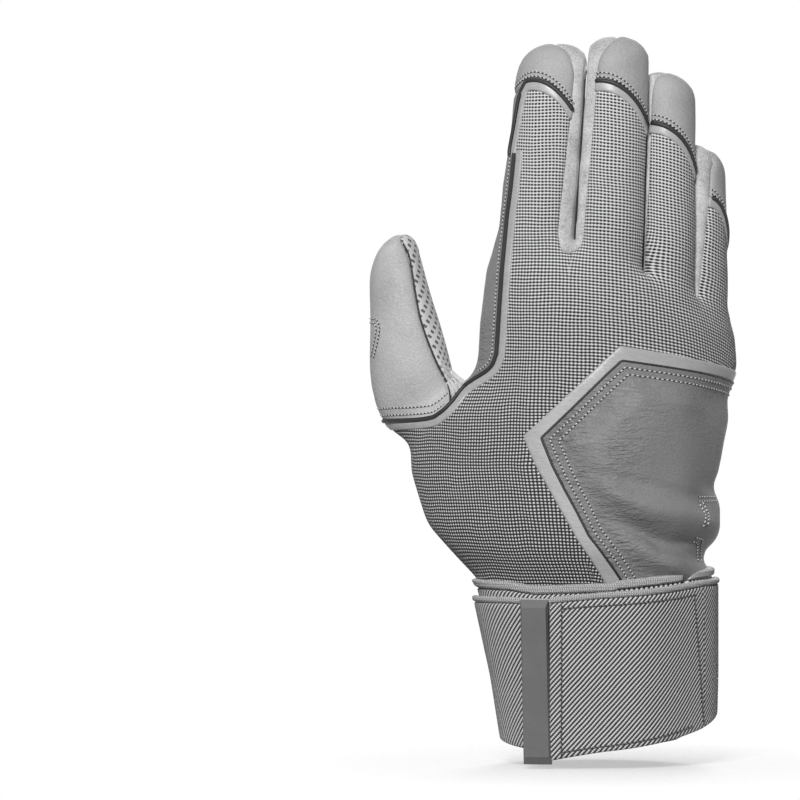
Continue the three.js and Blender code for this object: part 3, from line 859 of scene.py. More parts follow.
# The weave turns from pale dots near the wrist to dark dots on the fingers, and near the wrist it is also
# darker as painted shade: heights and tones of both ends
SHADED_OPEN_FOOT, SHADED_OPEN_HEAD, SHADED_OPEN_TONE, CLOSED_TONE = 80, 215, -0.18, -0.5


def woven_fabric():
    """Threads in rows and columns, more open near the wrist and closer on the fingers, and darker towards the
    wrist as painted shade.
    """
    paint = Paint("woven_fabric", Sheen_Weight=0.15)
    place, u, v = paint.pattern()
    sway, fuzz = paint.noise(place, 0.05), paint.noise(place, 2.4, 3)
    rows = paint.wave(v + 2.0 * sway, WEAVE_PITCH)
    columns = paint.wave(u + 1.2 * sway, WEAVE_PITCH)
    loose = rows * (0.95 * columns + 0.05)
    close = 1 - (1 - rows) * (1 - 0.75 * columns)
    # Painted shade: from the fingers down to the wrist the weave turns darker
    share = paint.node("MapRange", v, SHADED_OPEN_FOOT, SHADED_OPEN_HEAD)
    threads = loose + share * (close - loose)
    tone = threads + 0.3 * fuzz + (CLOSED_TONE - SHADED_OPEN_TONE) * share + SHADED_OPEN_TONE
    colour = paint.ramp(tone, (0.04, 34), (0.2, 96), (0.46, 228), (0.85, 255))
    return paint.finish(colour, (threads, 0.95, 0.75), (threads, 0.35), (fuzz, 0.08))


WRINKLED, UNWRINKLED = -12 * MM, 24 * MM


def leather(name, level, roughness=0.5, grain=0.5, wrinkle=0.0, one_side=False):
    """Grained leather, with fine creases all over it or only towards the thumb."""
    paint = Paint(name, Specular_IOR_Level=0.35)
    place = paint.place()
    pores = paint.node("TexVoronoi", output="Distance", Vector=place, Scale=1400.0)
    fine, cloudy = paint.noise(place, 2600.0, 3), paint.noise(place, 60.0, 3)
    colour = paint.shades(0.35 * pores + 0.75 * cloudy, level, (0.15, 0.84), (0.45, 1), (0.8, 1.1))
    bumps = [(pores, 0.1 * grain), (fine, 0.08 * grain)]
    if wrinkle:
        stretched = paint.node("Mapping", Vector=place, Scale=(230.0, 230.0, 900.0))
        patchy = paint.node("MapRange", paint.noise(place, 45.0, 2), 0.36, 0.6)
        if one_side:
            across = paint.node("SeparateXYZ", place)
            patchy = patchy * paint.node("MapRange", across, WRINKLED, UNWRINKLED, 1.0, 0.15)
        bumps.insert(0, (patchy * paint.noise(stretched, 1.0, 3, distortion=0.8), wrinkle))
    return paint.finish(colour, (fine, roughness - 0.1, roughness + 0.1), *bumps)


def suede(name, level):
    paint = Paint(name, Sheen_Weight=0.35, Specular_IOR_Level=0.2)
    place = paint.place()
    nap, cloudy = paint.noise(place, 1700.0, 4, 0.7), paint.noise(place, 130.0, 3)
    tone = 0.65 * nap + 0.35 * cloudy
    colour = paint.shades(tone, level, (0.3, 0.66), (0.5, 1), (0.7, 1.18), brightest=252)
    return paint.finish(colour, (nap, 0.85, 1.0), (nap, 0.18))


def gloss_tape():
    paint = Paint("gloss_tape", Coat_Weight=0.15, Coat_Roughness=0.25)
    place, _, _ = paint.pattern()
    streaks = paint.noise(paint.node("Mapping", Vector=place, Scale=(0.35, 2.2, 0.35)), 1.0, 3)
    fine = paint.noise(place, 3.0, 2)
    colour = paint.ramp(0.7 * streaks + 0.3 * fine, (0.25, 170), (0.5, 188), (0.75, 202))
    return paint.finish(colour, (fine, 0.28, 0.42), (fine, 0.04))


PRINT_PITCH, PRINT_SHARE = 2.55, 0.72


def palm_leather():
    """Pale leather printed all over with a wavy lattice of plain diamonds."""
    paint = Paint("palm_leather", Specular_IOR_Level=0.4)
    place, u, v = paint.pattern()
    swayed_u = u + 1.6 * paint.math("SINE", 0.085 * v)
    swayed_v = v + 1.3 * paint.math("SINE", 0.11 * u)
    cells = []
    for slant in (swayed_u + swayed_v, swayed_u - swayed_v):
        share = paint.math("FRACT", slant * (0.5 / (PRINT_PITCH * PRINT_SHARE)))
        cells.append(paint.math("ABSOLUTE", share - 0.5))
    ragged = paint.math("SMOOTH_MAX", *cells, 0.1) + 0.09 * paint.noise(place, 2.2, 3)
    ground = paint.ramp(paint.noise(place, 0.12, 3), (0.3, 208), (0.7, 228))
    dots = paint.ramp(ragged, (0.25, 112), (0.31, 255))
    grain = paint.noise(place, 2.6, 3)
    return paint.finish(ground * dots, (grain, 0.5, 0.68), (grain, 0.07))


def twill_elastic(name, pitch, steepness):
    """Elastic with slanting ribs of crossed yarn."""
    paint = Paint(name, Sheen_Weight=0.2)
    place, u, v = paint.pattern()
    slant = steepness * u - v + 0.7 * paint.noise(place, 0.09)
    ridges = paint.wave(slant, pitch * math.hypot(1, steepness))
    fuzz = paint.noise(place, 2.6, 3)
    height = ridges * (0.35 * paint.wave(u + v, 0.9 * pitch) + 0.65)
    tone = height + 0.35 * fuzz - 0.17
    colour = paint.ramp(tone, (0.05, 20), (0.25, 82), (0.5, 226), (0.88, 255))
    return paint.finish(colour, (fuzz, 0.85, 1.0), (height, 0.4), (fuzz, 0.1))


KNIT_PITCH = 0.8


def knit_tape(name, level):
    """Tape of small knitted loops in offset rows."""
    paint = Paint(name, Sheen_Weight=0.25)
    place, u, v = paint.pattern()
    fuzz = paint.noise(place, 2.2, 4)
    rows = paint.wave(v + 0.5 * paint.noise(place, 0.5), KNIT_PITCH)
    loops = paint.wave(u + 0.3 * KNIT_PITCH * rows, 0.9 * KNIT_PITCH)
    height = (0.6 * rows + 0.4) * loops
    colour = paint.shades(0.5 * height + 0.6 * fuzz, level, (0.2, 0.55), (0.5, 1), (0.8, 1.2))
    return paint.finish(colour, (fuzz, 0.85, 1.0), (height, 0.25), (fuzz, 0.1))


def thread(name, level, roughness=0.6):
    paint = Paint(name)
    twist = paint.noise(paint.place(), 3000.0, 2)
    colour = paint.shades(twist, level, (0.3, 0.8), (0.7, 1.08))
    return paint.finish(colour, (twist, roughness - 0.1, roughness + 0.1), (twist, 0.05))


def moulded_rubber():
    paint = Paint("tab_rubber", Specular_IOR_Level=0.35)
    place = paint.place()
    fine, cloudy = paint.noise(place, 1800.0, 3), paint.noise(place, 90.0, 2)
    colour = paint.ramp(0.4 * fine + 0.6 * cloudy, (0.3, 110), (0.7, 122))
    return paint.finish(colour, (fine, 0.45, 0.6), (fine, 0.03))


WOVEN = woven_fabric()
CAP_LEATHER = leather("cap_leather", 180, 0.55, 0.9)
THUMB_LEATHER = leather("thumb_leather", 198, 0.46, 0.8, 0.15)
DARK_LEATHER = leather("dark_leather", 142, 0.48, 0.9, 0.9)
PAD_LEATHER = leather("pad_leather", 138, 0.48, 0.9, 1.8, one_side=True)
PLEAT_LEATHER = leather("pleat_leather", 214, 0.55, 0.8)
PALM_LEATHER = palm_leather()
SUEDE, DARK_SUEDE = suede("suede", 216), suede("dark_suede", 84)
GLOSS_TAPE = gloss_tape()
TWILL, FINE_TWILL = twill_elastic("flap_twill", 1.12, 1.25), twill_elastic("wrap_twill", 1.12, 1.2)
BINDING, PILE, HOOKS = knit_tape("binding_tape", 208), knit_tape("loop_pile", 84), knit_tape("hook", 60)
PALE_THREAD, GREY_THREAD = thread("pale_thread", 248), thread("grey_thread", 120)
# The near-black cord is the real piping, and painted shade in stitch grooves and finger slits
PIPING_AND_SHADE_CORD, SIDE_CORD = thread("piping_and_shade_cord", 24, 0.5), thread("side_cord", 52, 0.8)
RUBBER = moulded_rubber()

# Shell panels, each cut from the base surface and rolled in at its seams
SEAM_ROLL, SEAM_REACH, PANEL_THICKNESS, CAP_LIFT = 0.75, 1.9, 0.9, 0.2
SEAM_ROWS = (0.45, 1.0, SEAM_REACH)


def panel(name, sheet, material, lift=0.0):
    sheet, distance = with_rows(sheet, SEAM_ROWS)
    outer = lift - SEAM_ROLL * np.clip(1 - distance / SEAM_REACH, 0, 1) ** 2
    sewn_piece(name, sheet, outer, outer - PANEL_THICKNESS, material, [name])


BASE = base_sheet()
rest = BASE
for finger in LONG_FINGERS:
    part, rest = rest.cut(tip_cap(finger))
    panel(f"{finger}_tip_cap", part, CAP_LEATHER, CAP_LIFT)
for first, second in zip(LONG_FINGERS, LONG_FINGERS[1:]):
    part, rest = rest.cut(fourchette(first, second))
    panel(f"fourchette_{first}_{second}", part, SUEDE)
for name, field, material, slot in (
    ("little_side_panel", little_side, SUEDE, "suede"),
    ("thumb_gusset", gusset, DARK_SUEDE, "suede"),
    ("index_side_panel", index_side, DARK_LEATHER, "dark_leather"),
    ("thumb_back_panel", thumb_back, THUMB_LEATHER, "thumb_leather"),
    ("back_panel", whole_back, WOVEN, "woven_fabric"),
):
    part, rest = rest.cut(field)
    panel(name, part, material)
panel("palm_panel", rest, PALM_LEATHER)

# Overlays sewn on the shell: tapes, the heel patch and the back pad
OVERLAY_SINK, OVERLAY_FOOT, OVERLAY_EDGE = 0.5, -0.8, 0.7
OVERLAY_ROWS = (0.2, 0.45, 0.75)
TIP_BAND_LIFT, SIDE_BAND_LIFT, PAD_BAND_LIFT, PATCH_LIFT = 0.4, 0.45, 0.55, 0.8


def rounded_rise(distance, reach):
    """Rises from 0 at an edge to 1 at a reach inside it, as a quarter round."""
    return np.sqrt(1 - (1 - np.clip(distance / reach, 0, 1)) ** 2)


def overlay_height(lift, distance):
    return -OVERLAY_SINK + (lift + OVERLAY_SINK) * rounded_rise(distance, OVERLAY_EDGE)


def overlay(name, field, lift, material):
    sheet, distance = with_rows(BASE.cut(field)[0], OVERLAY_ROWS)
    sewn_piece(name, sheet, overlay_height(lift, distance), OVERLAY_FOOT, material, [name])


for finger in LONG_FINGERS[1:]:
    overlay(f"{finger}_tip_band", tip_band(finger), TIP_BAND_LIFT, GLOSS_TAPE)
overlay("side_band", side_band, SIDE_BAND_LIFT, GLOSS_TAPE)
overlay("back_pad_band", pad_band, PAD_BAND_LIFT, GLOSS_TAPE)
overlay("heel_patch", heel_patch, PATCH_LIFT, DARK_LEATHER)

PAD_FLANGE, PAD_PUFF, PAD_LEAST, PAD_ROUND = 0.9, 3.4, 0.3, 1.0
# The crown rises inside the flange, and runs out at the edge of the hand and above the wrist
CROWN_RISE, CROWN_FOOT, CROWN_EDGE, CROWN_EDGE_SHARE = (4.2, 13), (60, 76), (35, 50), 0.9
# Slack folds above the wrist: length, a valley, slope across the pad, depth, sink and how blunt a valley is
FOLD_LENGTH, FOLD_VALLEY, FOLD_SLOPE, FOLD_FROM = 19.0, 83.0, 0.31, 15
FOLD_DEPTH, FOLD_SINK, FOLD_BLUNT, FOLD_WANDER, WANDER_LENGTH = 4.2, 0.25, 0.02, 2, 14
FOLDS_FOOT, FOLDS_HEAD, FOLDS_RISE, FOLDS_EDGE, FOLDS_EDGE_SHARE = (66, 75), (92, 103), (5, 16), (44, 56), 0.6


def pad_heights(sheet, distance):
    """A flat sewn flange, a soft crown inside it, and the slack folds above the wrist."""
    x, _, z = sheet.points.T
    free = line_distance(sheet.points[:, [0, 2]], np.array(PAD_EDGE, float))
    crown = smooth(*CROWN_RISE, free) * smooth(*CROWN_FOOT, z)
    crown *= 1 - CROWN_EDGE_SHARE * smooth(*CROWN_EDGE, x)
    across = z + FOLD_SLOPE * (x - FOLD_FROM)
    wander = FOLD_WANDER * rolling(sheet.points, WANDER_LENGTH)
    phase = 2 * math.pi * (across - FOLD_VALLEY + wander) / FOLD_LENGTH
    crest = 2 * np.sqrt((1 - np.cos(phase)) / 2 + FOLD_BLUNT) - 1
    window = smooth(*FOLDS_FOOT, across) * (1 - smooth(*FOLDS_HEAD, across)) * smooth(*FOLDS_RISE, free)
    folds = FOLD_DEPTH * (crest - FOLD_SINK) * window * (1 - FOLDS_EDGE_SHARE * smooth(*FOLDS_EDGE, x))
    lift = smooth_max(PAD_FLANGE + PAD_PUFF * crown + folds, PAD_LEAST, PAD_ROUND)
    return overlay_height(lift, distance)


pad_sheet, pad_distance = with_rows(refined(BASE.cut(back_pad)[0]), OVERLAY_ROWS)
pad_height = pad_heights(pad_sheet, pad_distance)
pad_piece = sewn_piece("back_pad", pad_sheet, pad_height, OVERLAY_FOOT, PAD_LEATHER,
                       ["back_pad", "back_pad_foam"])


# Cuff and strap: rings round the wrist by angle, with the back at -90 degrees and the thumb side at 180
STRAP_IN, STRAP_OUT, FLAP_RISE, FLAP_RAMP, HINGE_X = 2.4, 4.4, 4.9, 22.0, 47.0
FLAP_END, FLAP_SEWN, STRAP_END = -113.8, -33.0, 276.0
# Where the opened flap's cloth starts and ends its bend, by angle; nothing bends it
FLAP_BEND = (-43.0, -60.0)
# Angle, lower and upper edge of the strap, and upper edge of the wrist binding
STRAP_EDGES = np.array([
    (-119, 1.6, 57.6, 61.2), (-90, 5.8, 59.9, 62.8), (-36, 12.2, 63.3, 66.6), (0, 17.4, 64.0, 67.6),
    (45, 10.0, 59.5, 63.0), (90, 4.2, 56.5, 60.5), (135, 5.2, 55.5, 60.5), (180, 8.0, 57.6, 63.4),
    (225, 5.5, 57.8, 63.0), (241, 5.0, 57.4, 61.6), (276, 7.8, 57.0, 62.6),
], float)
# Middle height of the strap, its usual width, and how its edges are rounded
STRAP_MIDDLE, STRAP_WIDTH, EDGE_ROUND, INNER_ROUND, EDGE_STEP = 30.0, 60.0, 0.9, 0.8, 1.6
EDGE_PLACES = np.array([0, 0.08, 0.3, 0.65, 1.0])
RULER_SPARE, RULER_POINTS, AROUND_POINTS = 60, 800, 400


def signed_power(value, exponent):
    return np.sign(value) * np.abs(value) ** exponent


def unit(vectors):
    return vectors / np.linalg.norm(vectors, axis=-1, keepdims=True)


def lengths_along(points):
    return np.concatenate([[0], np.cumsum(np.linalg.norm(np.diff(points, axis=0), axis=1))])


def cuff_points(angle, z, offset):
    """Places round the wrist by angle and height, at an offset from the inner form."""
    left, right, depth, _ = section_at(z)
    across = signed_power(np.cos(np.radians(angle)), HAND_SQUARENESS)
    through = signed_power(np.sin(np.radians(angle)), HAND_SQUARENESS)
    x = (left + right) / 2 + ((right - left) / 2 + offset) * across
    return np.stack(np.broadcast_arrays(x, (depth + offset) * through, z), -1)


def flap_rise(angle, z):
    """How far the flap stands off the wrist, over the closure under it."""
    x = cuff_points(angle, z, 0)[..., 0]
    return FLAP_RISE * smooth(0, FLAP_RAMP, HINGE_X - x) * (np.asarray(angle) < 0)


def straight_angle(angle, z, offset):
    """The angle at each height that keeps the place across which it has at the strap's middle height."""
    left, right, _, _ = section_at(z)
    x = cuff_points(angle, STRAP_MIDDLE, offset)[..., 0]
    across = np.clip((x - (left + right) / 2) / ((right - left) / 2 + offset), -1, 1)
    return -np.degrees(np.arccos(signed_power(across, 1 / HAND_SQUARENESS)))


def strap_ruler():
    """Angle round the wrist against length along the strap."""
    angle = np.linspace(FLAP_END - RULER_SPARE, STRAP_END + RULER_SPARE, RULER_POINTS)
    return angle, lengths_along(cuff_points(angle, STRAP_MIDDLE, STRAP_OUT))


def edge_shares(length):
    """Places along a length in millimetres, close together near both ends."""
    near = EDGE_PLACES * EDGE_ROUND
    middle = np.linspace(EDGE_ROUND, length - EDGE_ROUND, max(int(length / EDGE_STEP), 2))[1:-1]
    return np.concatenate([near, middle, length - near[::-1]])


def grid_piece(name, outer, inner, places, material, body, nodes):
    """A closed piece between two grids of flat points."""
    ids = np.arange(outer[..., 0].size).reshape(outer.shape[:2])
    quads = np.stack([ids[:-1, :-1], ids[1:, :-1], ids[1:, 1:], ids[:-1, 1:]], -1).reshape(-1, 4)
    ring = np.concatenate([ids[0, :-1], ids[:-1, -1], ids[-1, :0:-1], ids[:0:-1, 0]])
    rim = np.stack([np.roll(ring, -1), ring], 1)
    top, bottom, flat = (grid.reshape(-1, 3) for grid in (outer, inner, places))
    return closed_piece(name, top, bottom, quads, rim, flat, material, body, nodes)


def strap_piece(name, angles, edges, levels, material, slot,
                body=GLOVE, nodes=None, rise=False, ends=(True, True)):
    """A band round the wrist between two angles, two edge heights and two offsets from the inner form."""
    low, high = levels
    turned = np.linspace(*angles, AROUND_POINTS)
    lengths = lengths_along(cuff_points(turned, STRAP_MIDDLE, high))
    along = edge_shares(lengths[-1])
    angle = np.interp(along, lengths, turned)
    share = edge_shares(STRAP_WIDTH) / STRAP_WIDTH
    lower, upper = (edge(angle)[:, None] for edge in edges)
    z = lower + (upper - lower) * share
    drop = 1 - rounded_rise(np.minimum(share, 1 - share) * (upper - lower), EDGE_ROUND)
    for end, distance in zip(ends, (along, lengths[-1] - along)):
        if end:
            drop = np.maximum(drop, 1 - rounded_rise(distance, EDGE_ROUND)[:, None])
    wide, lift = angle[:, None] + 0 * z, 0
    if rise:
        wide = straight_angle(wide, z, high + FLAP_RISE)
        lift = flap_rise(wide, z)
    round_off = (high - low) / 2 * drop
    outer = cuff_points(wide, z, high - round_off + lift)
    inner = cuff_points(wide, z, low + round_off * INNER_ROUND + lift)
    start = np.interp(angles[0], *strap_ruler())
    places = np.stack([start + along[:, None] + 0 * z, z, 0 * z], -1)
    return grid_piece(name, outer, inner, places, material, body, [name] if nodes is None else nodes)


def blend_flap(piece):
    """Leaves the flap without a parent and bakes its place into its mesh; its cloth is not bent."""
    world = piece.matrix_world.copy()
    piece.parent = None
    piece.matrix_world = world
    start, end = bend(cuff_points(np.array(FLAP_BEND), STRAP_MIDDLE, STRAP_OUT))
    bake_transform(piece)


# Edges of the strap and the cuff as heights by angle, the same whichever way round the angle is counted
LOWER, UPPER, WRIST_TOP = 1, 2, 3
BINDING_HEIGHT, BINDING_OVER, BINDING_UNDER = 2.2, 0.3, 0.2
TUCK_HEIGHT, RIM_DROP = 3.0, 5.0
SLEEVE_HEM = np.array([
    (-42, 15), (0, 15.5), (45, 6.5), (90, 2.2), (135, 4), (180, 9), (225, 7), (314, 12),
], float)


def strap_edge(column, drop=0.0):
    def edge(angle):
        angle = np.where(angle > STRAP_END, angle - 360, angle)
        return np.interp(angle, STRAP_EDGES[:, 0], STRAP_EDGES[:, column]) - drop
    return edge


def sleeve_hem(angle):
    return np.interp(angle, *SLEEVE_HEM.T)


def level_edges(*heights):
    return [lambda angle, height=height: height + 0 * angle for height in heights]


under_binding, tuck_foot = strap_edge(UPPER, BINDING_HEIGHT), strap_edge(WRIST_TOP, TUCK_HEIGHT)
strap_edges, binding_edges = (strap_edge(LOWER), under_binding), (under_binding, strap_edge(UPPER))
tuck_edges = (tuck_foot, strap_edge(WRIST_TOP))
rim_edges = (strap_edge(WRIST_TOP, TUCK_HEIGHT + RIM_DROP), tuck_foot)

STRAP_LEVELS = (STRAP_IN, STRAP_OUT)
BINDING_LEVELS = (STRAP_IN - BINDING_UNDER, STRAP_OUT + BINDING_OVER)
wrap, flap = (FLAP_SEWN, STRAP_END), (FLAP_END, FLAP_SEWN)
wrapped = {"ends": (False, True)}
folding = {"body": None, "rise": True, "ends": (True, False)}
strap_piece("wrap_strap", wrap, strap_edges, STRAP_LEVELS, FINE_TWILL, "twill", **wrapped)
strap_piece("strap_binding", wrap, binding_edges, BINDING_LEVELS, BINDING, "binding_tape", **wrapped)
for name, edges, levels, material, slot in (
    ("strap_flap", strap_edges, STRAP_LEVELS, TWILL, "twill"),
    ("flap_binding", binding_edges, BINDING_LEVELS, BINDING, "binding_tape"),
):
    blend_flap(strap_piece(name, flap, edges, levels, material, slot, **folding))

# Sleeve of the cuff, its binding, and the closure under the flap
SLIT_ANGLES = (-42.0, 314.0)
SLEEVE_TOP, SLEEVE_LEVELS = 56.0, (-1.0, 0.0)
TUCK_IN, TUCK_OUT, RIM_OUT = -1.4, 2.8, 2.2
LOOP_ANGLES, LOOP_EDGES, LOOP_LEVELS = (236.0, 272.0), (12.0, 52.0), (4.5, 5.5)
HOOK_ANGLES, HOOK_EDGES, HOOK_LEVELS = (-110.0, -88.0), (8.0, 52.0), (1.3, 2.3)
sleeve_edges = (sleeve_hem, *level_edges(SLEEVE_TOP))
strap_piece("inner_cuff", SLIT_ANGLES, sleeve_edges, SLEEVE_LEVELS, FINE_TWILL, "twill")
strap_piece("cuff_rim", SLIT_ANGLES, rim_edges, (TUCK_IN, RIM_OUT), FINE_TWILL, "twill", nodes=[])
strap_piece("wrist_binding", SLIT_ANGLES, tuck_edges, (TUCK_IN, TUCK_OUT), BINDING, "binding_tape")
strap_piece("loop_patch", LOOP_ANGLES, level_edges(*LOOP_EDGES), LOOP_LEVELS, PILE, "loop_pile")
strap_piece("hook_patch", HOOK_ANGLES, level_edges(*HOOK_EDGES), HOOK_LEVELS, HOOKS, "hook", FLAP, rise=True)

# Pull tab: a straight bar with chamfered ends, set at the end of the flap
TAB_ANGLE, TAB_SPREAD, TAB_LEVEL, TAB_THICKNESS, TAB_LEAN = -121.9, 4, 2.4, 2.8, 0.022
TAB_WIDTH, TAB_FOOT, TAB_HEAD = 9.6, 1.2, 57.0
# How much the chamfer takes off at the sides and the ends, and where it starts in the thickness
TAB_SIDE, TAB_END, TAB_CHAMFER = 0.7, 2.6, 0.45


def pull_tab():
    half, height = TAB_WIDTH / 2, (TAB_HEAD - TAB_FOOT) / 2
    angles = TAB_ANGLE + np.array([-TAB_SPREAD, 0, TAB_SPREAD])
    before, base, after = cuff_points(angles, TAB_FOOT + height, TAB_LEVEL + FLAP_RISE)
    along = unit(unit(after - before) + (1, 0, 0))
    out = np.cross(along, (0, 0, 1.0))
    rings = ((half, height, 0), (half, height, TAB_CHAMFER), (half - TAB_SIDE, height - TAB_END, 1))
    corners = []
    for width, rise, level in rings:
        for across, up in ((-1, -1), (1, -1), (1, 1), (-1, 1)):
            place = base + along * (across * width - TAB_LEAN * up * rise) + out * level * TAB_THICKNESS
            corners.append(place + np.array([0, 0, up * rise]))
    faces = [(3, 2, 1, 0), (8, 9, 10, 11)]
    for ring in (0, 4):
        faces += [(ring + i, ring + (i + 1) % 4, ring + (i + 1) % 4 + 4, ring + i + 4) for i in range(4)]
    tab = add_object("pull_tab", bend(corners), faces, RUBBER, FLAP, None, ["pull_tab"])
    tab.data.polygons.foreach_set("use_smooth", np.zeros(len(tab.data.polygons), bool))


pull_tab()


# Trim: rows of stitches and cords, drawn as lines in flat x and z and laid on the shell
STITCH_PITCH, STITCH_LENGTH, STITCH_WIDTH = 1.35, 0.95, 0.55
# Rings of a stitch: place along it, width share, and height over the surface
STITCH_RINGS = ((-0.5, 0.4, -0.1), (-0.28, 1.0, 0.1), (0.28, 1.0, 0.1), (0.5, 0.4, -0.1))
RING_SIDES, LINE_STEP, CORD_STEP, TANGENT_REACH, LEAST_MITRE, RAY_START = 6, 0.5, 0.75, 0.3, 0.5, 100.0


def surface_of(sheet, heights=0.0):
    """A sheet raised by some heights, ready for lines to be laid on it."""
    points = sheet.points + sheet.normals * np.reshape(heights, (-1, 1))
    return BVHTree.FromPolygons([tuple(p) for p in points], sheet.triangles.tolist()), sheet


SHELL_SURFACE, PAD_SURFACE = surface_of(BASE), surface_of(pad_sheet, pad_height)


def places_on(points, lengths, wanted):
    return np.stack([np.interp(wanted, lengths, column) for column in points.T], 1)


def resampled(line):
    line = np.asarray(line, float)
    lengths = lengths_along(line)
    return places_on(line, lengths, np.linspace(0, lengths[-1], max(int(lengths[-1] / LINE_STEP), 2)))


def offset_line(line, distance):
    """A line beside another, on its left hand where the distance is positive, with mitred corners."""
    line = np.asarray(line, float)
    run = unit(np.diff(line, axis=0))
    left = np.stack([-run[:, 1], run[:, 0]], 1)
    before, after = np.vstack([left[:1], left]), np.vstack([left, left[-1:]])
    mitre = (before + after) / np.maximum(1 + (before * after).sum(1), LEAST_MITRE)[:, None]
    return line + distance * mitre


def drape(line, lift=0.0, back=True, surface=SHELL_SURFACE):
    """Lays a line on the back or the palm of a surface: points in space and outward normals."""
    side = -1 if back else 1
    tree, sheet = surface
    laid = []
    for x, z in resampled(line):
        place, _, face, _ = tree.ray_cast(Vector((x, side * RAY_START, z)), Vector((0, -side, 0)))
        if place is not None:
            normal = unit(sheet.normals[sheet.triangles[face]].mean(0))
            laid.append((np.array(place) + normal * lift, normal))
    return [np.array(column) for column in zip(*laid)]


def frames_at(points, normals, wanted):
    """Places, tangents, normals and sideways directions at lengths along a line in space."""
    lengths = lengths_along(points)
    steps = (-TANGENT_REACH, 0, TANGENT_REACH)
    before, place, after = (places_on(points, lengths, wanted + step) for step in steps)
    tangent = unit(after - before)
    normal = places_on(normals, lengths, wanted)
    normal = unit(normal - tangent * (normal * tangent).sum(1)[:, None])
    return place, tangent, normal, np.cross(normal, tangent)


def tube(rings):
    """Vertices and faces of a closed tube through rings of points."""
    count, sides = rings.shape[:2]
    ids = np.arange(count * sides).reshape(count, sides)
    after = np.roll(ids, -1, axis=1)
    quads = np.stack([ids[:-1], after[:-1], after[1:], ids[1:]], -1).reshape(-1, 4)
    return rings.reshape(-1, 3), [*quads.tolist(), ids[0, ::-1].tolist(), ids[-1].tolist()]


def ring_points(place, normal, side, radius):
    turn = np.arange(RING_SIDES) * 2 * math.pi / RING_SIDES
    spokes = np.cos(turn)[:, None] * normal[:, None] + np.sin(turn)[:, None] * side[:, None]
    return place[:, None] + radius * spokes


def stitch_row(points, normals):
    """A row of single stitches along a line."""
    wanted = np.arange(STITCH_PITCH / 2, lengths_along(points)[-1], STITCH_PITCH)
    place, tangent, normal, side = frames_at(points, normals, wanted)
    rings = []
    for share, width, height in STITCH_RINGS:
        centre = place + tangent * share * STITCH_LENGTH + normal * height
        rings.append(ring_points(centre, normal, side, width * STITCH_WIDTH / 2))
    return [tube(np.stack(stitch)) for stitch in zip(*rings)]


def cord(points, normals, radius, lift=0.0):
    total = lengths_along(points)[-1]
    wanted = np.linspace(0, total, max(int(total / CORD_STEP), 2))
    place, _, normal, side = frames_at(points, normals, wanted)
    return tube(ring_points(place + normal * lift, normal, side, radius))


def add_trim(name, tubes, material, body=GLOVE):
    vertices, faces = [], []
    for points, loops in tubes:
        faces += [[i + len(vertices) for i in loop] for loop in loops]
        vertices += [*points]
    add_object(name, bend(np.array(vertices)), faces, material, body)


GROOVE_SHADE, GROOVE_SHADE_LIFT, PIPING, PIPING_LIFT = 0.3, -0.08, 0.8, 0.15


def sew(name, lines, body=GLOVE, material=PALE_THREAD):
    """Stitch rows, each over a dark cord for the groove it pulls into the leather; the cord's darkness is
    painted shade.
    """
    add_trim(f"stitches_{name}", [stitch for line in lines for stitch in stitch_row(*line)], material, body)
    # Painted shade: a dark cord under each row stands for the shadow in its groove
    add_trim(f"groove_shade_{name}", [cord(*line, GROOVE_SHADE, GROOVE_SHADE_LIFT) for line in lines], PIPING_AND_SHADE_CORD, body)


def pipe(name, line, radius=PIPING, lift=PIPING_LIFT, material=PIPING_AND_SHADE_CORD):
    add_trim(f"piping_{name}", [cord(*line, radius, lift)], material)


# Rows under the caps stop short of the finger's sides, in degrees, and of the slits
ROW_END, SLIT_CLEAR, CAP_POINTS = 72, 0.5, 40
CAP_ROWS, SEAM_LIFT = (1.3, 2.8), 0.1


def cap_line(name, above):
    """A line across a finger beside the lower edge of its cap."""
    finger = FINGERS[name]
    right, up = finger.along
    width = finger.tip_width + SHELL
    turns = (side * min(SEAM_BACK[name, side][0], ROW_END) for side in (-1, 1))
    aside = np.linspace(*(width * math.sin(math.radians(turn)) for turn in turns), CAP_POINTS)
    line = finger.root + np.outer(cap_edge(name, aside) + above, (right, up)) + np.outer(aside, (up, -right))
    i = LONG_FINGERS.index(name)
    if i > 0:
        line = line[line[:, 0] > slit_middle(i - 1, line[:, 1]) + SLIT_CLEAR]
    if i < len(LONG_FINGERS) - 1:
        line = line[line[:, 0] < slit_middle(i, line[:, 1]) - SLIT_CLEAR]
    return line


for finger in LONG_FINGERS:
    sew(f"{finger}_cap", [drape(cap_line(finger, above), CAP_LIFT) for above in CAP_ROWS])
    if finger != "index":
        pipe(f"{finger}_cap", drape(cap_line(finger, 0.0), SEAM_LIFT))

# Painted shade: dark cords deep in the slits between the fingers stand for the shadow there and close the
# gap: lower and upper ends
SLIT_SHADE_CORDS = ((170.5, 236.0), (165.0, 226.0), (158.0, 203.0))
SHADE_CORD_PLACE, SHADE_CORD_RADIUS, SHADE_CORD_POINTS = -1.9, 0.32, 80
shade_cords = []
for i, ends in enumerate(SLIT_SHADE_CORDS):
    z = np.linspace(*ends, SHADE_CORD_POINTS)
    line = np.stack([slit_middle(i, z), np.full(SHADE_CORD_POINTS, SHADE_CORD_PLACE), z], 1)
    shade_cords.append(cord(line, np.tile([0.0, -1.0, 0.0], (SHADE_CORD_POINTS, 1)), SHADE_CORD_RADIUS))
# These dark cords are painted shade in the slits
add_trim("slit_shade_cords", shade_cords, PIPING_AND_SHADE_CORD)

